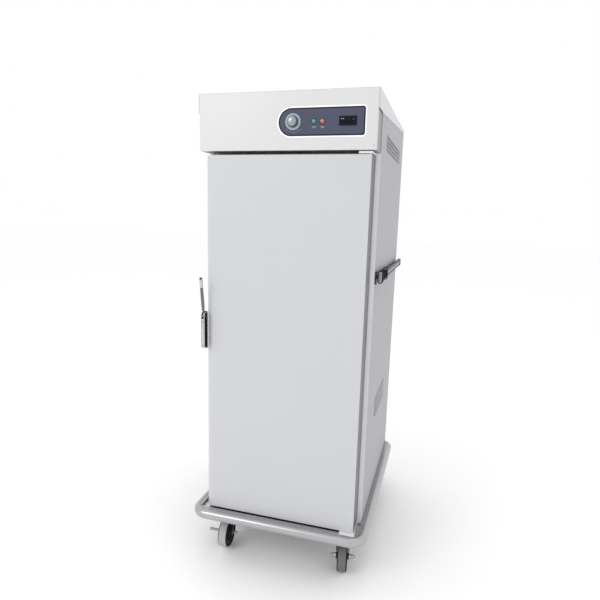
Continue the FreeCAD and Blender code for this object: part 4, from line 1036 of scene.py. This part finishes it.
def wool():
    """Glass-wool slabs round the chamber: two sides, back, roof and floor; and the door's foam."""
    low, high = cad("insulation")
    liner_low, liner_high = cad("inner_liner")
    x, y = liner_high.x + WOOL_GAP, liner_high.y + WOOL_GAP
    bottom, top = liner_low.z - WOOL_GAP, liner_high.z + WOOL_GAP
    bm = bmesh.new()
    for index, (start, end) in enumerate((
        ((low.x, low.y, low.z), (-x, y, high.z)),
        ((x, low.y, low.z), (high.x, y, high.z)),
        ((low.x, y, low.z), (high.x, high.y, high.z)),
        ((-x, low.y, top), (x, y, high.z)),
        ((-x, low.y, low.z), (x, y, bottom)),
    )):
        slab(bm, start, end, 100 + index, 1.6)
    piece("wool_slabs", bm, "glass_wool", "cabinet", ["insulation"])
    low, high = cad("door_core")
    bm = bmesh.new()
    slab(bm, (low.x + 12, low.y + 12, low.z), (high.x, high.y, high.z), 7, 1.4)
    slab(bm, (low.x + 36, low.y + 0.2, low.z), (high.x, low.y + 11.8, high.z), 8, 1.0)
    piece("door_core_foam", bm, "door_foam", "door", ["door_core"])


def fan():
    """Pressed five-blade impeller with twisted blades on a plain turned hub."""
    low, high = cad("fan_blade")
    centre = (low + high) / 2
    deep = high.y - low.y
    hub = [(3.1, -7), (14.0, -7), (15.0, -6), (15.0, 6), (14.0, 7), (3.1, 7)]
    bm = bmesh.new()
    lathe(bm, hub, centre, REAR, 40, closed=True)
    blades = 5
    for k in range(blades):
        turn = Matrix.Rotation(2 * math.pi * k / blades, 3, "Y")
        faces = []
        for face in (0.5, -0.5):
            rows = []
            for i in range(9):
                r = 13 + (76 - 13) * i / 8
                chord = 17 + 9 * math.sin(math.pi * min(1.0, i / 7))
                pitch = math.radians(38 - 20 * i / 8)
                row = []
                for j in range(9):
                    s = (j / 8 - 0.5) * 2
                    along, camber = s * chord * 0.8, 2.4 * (1 - s * s)
                    depth = along * math.sin(pitch) * 0.55 + camber - 1.2
                    depth = max(-deep / 2 + 1, min(deep / 2 - 1, depth))
                    row.append(centre + turn @ Vector((along * math.cos(pitch), depth + face * 1.2, r)))
                rows.append(row)
            faces.append(rows)
        front, back = faces
        for rows in faces:
            loft(bm, rows, closed_section=False, caps=False)
        edge = [(i, 0) for i in range(9)] + [(8, j) for j in range(1, 9)] + [(i, 8) for i in range(7, -1, -1)]
        edge += [(0, j) for j in range(7, 0, -1)]
        rim = [[rows[i][j] for i, j in edge] for rows in (front, back)]
        loft(bm, rim, caps=False)
    bmesh.ops.remove_doubles(bm, verts=bm.verts, dist=0.001)
    piece("impeller", bm, "black_plastic", "fan", ["fan_blade"])


def gland():
    """Cable gland: round flange, ribbed dome nut and an open bore."""
    low, high = cad("cable_gland")
    centre = Vector(((low.x + high.x) / 2, cad("back_panel")[1].y, (low.z + high.z) / 2))

    def ribs(radius, along, angle):
        return 0.35 * math.cos(24 * angle) if 6.5 < along < 13 and radius > 12 else 0.0

    profile = [(GLAND_BORE_R, -14), (9.6, -14), (9.8, -13), (9.8, 0.02), (13.0, 0.02), (13.0, 1.6),
               (11.6, 2.2), (11.6, 6.0), (12.6, 6.6), (12.6, 12.0), (11.0, 16.5), (8.4, 19.6), (7.4, 20.0),
               (GLAND_BORE_R, 20.0)]
    bm = bmesh.new()
    lathe(bm, profile, centre, REAR, 96, closed=True, ripple=ribs)
    piece("gland_body", bm, "black_plastic", "cabinet", ["cable_gland"])


# ---- carried-over CAD nodes ----
def keep_cad():
    """Give each CAD node that stays its material and softened edges."""
    kept = (                # look, edge width, nodes
        # side panels take the darkened side paint, which paints in their shade
        ("side_sheet", 0.5, "side_panel_left side_panel_right back_panel"),
        ("stainless", 0.3, "inner_liner air_duct"),
        ("stainless", 0.4, "face_frame door_liner"),
        ("stainless_flat", 0.3, "heater_element"),
        ("stainless_flat", 0.4, "tray_rack_left tray_rack_right water_pan"),
        ("stainless_flat", 0.8, "deck_plate"),
        ("zinc_steel", 0.6, "caster_plates fan_motor"),
        ("zinc_steel", 1.0, "base_frame"),
        ("chrome_fittings", 0.4, "hinge_pins"),
        ("chrome_fittings", 0.6, "latch_strike"),
        ("bracket_plate", 0.8, "hinge_brackets"),
        ("head_trim", 0.5, "header_chassis"),
        ("dark_trim", 0.6, "door_edge_frame"),
        ("black_plastic", 0.6, "thermostat_body"),
    )
    for look, width, names in kept:
        for name in names.split():
            obj = frame["nodes"][name]
            clad(obj, look)
            weld = obj.modifiers.new("weld", "WELD")
            weld.merge_threshold = WELD_REACH
            soften(obj, width)


# ---- stage ----
def stage():
    mesh = bpy.data.meshes.new("floor")
    corners = rectangle(-FLOOR_HALF, FLOOR_HALF, -FLOOR_HALF, FLOOR_HALF)
    mesh.from_pydata([(x, y, 0) for x, y in corners], [], [(0, 1, 2, 3)])
    floor = bpy.data.objects.new("floor", mesh)
    bpy.context.scene.collection.objects.link(floor)
    floor.data.materials.append(finish("floor_card", (0.995, 0.995, 0.997), 0.7, mottle=0.002,
                                       mottle_scale=1.0, bump=0.01))


def area_light(name, place, aim_z, size, power):
    data = bpy.data.lights.new(name, "AREA")
    data.shape = "DISK"
    data.size = size
    data.energy = power
    lamp = bpy.data.objects.new(name, data)
    bpy.context.scene.collection.objects.link(lamp)
    lamp.location = place
    lamp.rotation_mode = "QUATERNION"
    lamp.rotation_quaternion = (Vector((0, 0, aim_z)) - Vector(place)).to_track_quat("-Z", "Y")


def lights():
    world = bpy.data.worlds.new("studio")
    bpy.context.scene.world = world
    world.use_nodes = True
    background = world.node_tree.nodes["Background"]
    background.inputs["Color"].default_value = (1.0, 1.0, 1.0, 1)
    background.inputs["Strength"].default_value = 1.0
    for light in LIGHTS:
        area_light(*light)


def camera():
    data = bpy.data.cameras.new("camera")
    data.lens = CAMERA_LENS
    data.sensor_width = SENSOR_W
    data.shift_x, data.shift_y = CAMERA_SHIFT
    obj = bpy.data.objects.new("camera", data)
    bpy.context.scene.collection.objects.link(obj)
    azimuth, pitch, roll = (math.radians(a) for a in (CAMERA_AZIMUTH, CAMERA_PITCH, CAMERA_ROLL))
    ahead = Vector((-math.sin(azimuth) * math.cos(pitch), math.cos(azimuth) * math.cos(pitch),
                    -math.sin(pitch)))
    right = ahead.cross(Vector((0, 0, 1))).normalized()
    up = right.cross(ahead)
    rolled_right = right * math.cos(roll) + up * math.sin(roll)
    rolled_up = up * math.cos(roll) - right * math.sin(roll)
    turn = Matrix((rolled_right, rolled_up, -ahead)).transposed().to_4x4()
    obj.matrix_world = Matrix.Translation(CAMERA_PLACE) @ turn
    bpy.context.scene.camera = obj
    bpy.context.scene.view_settings.view_transform = "Standard"


# ---- build ----
bumper()
door_front()
head_front()
roof_cover()
front_edges()
control_plate()
control_marks()
knob()
lamps()
display()
latch()
lever()
handles()
vents()
screw_heads()
for key in CASTER_YAWS:
    caster(key)
seal()
wool()
fan()
gland()
keep_cad()
stage()
lights()
camera()
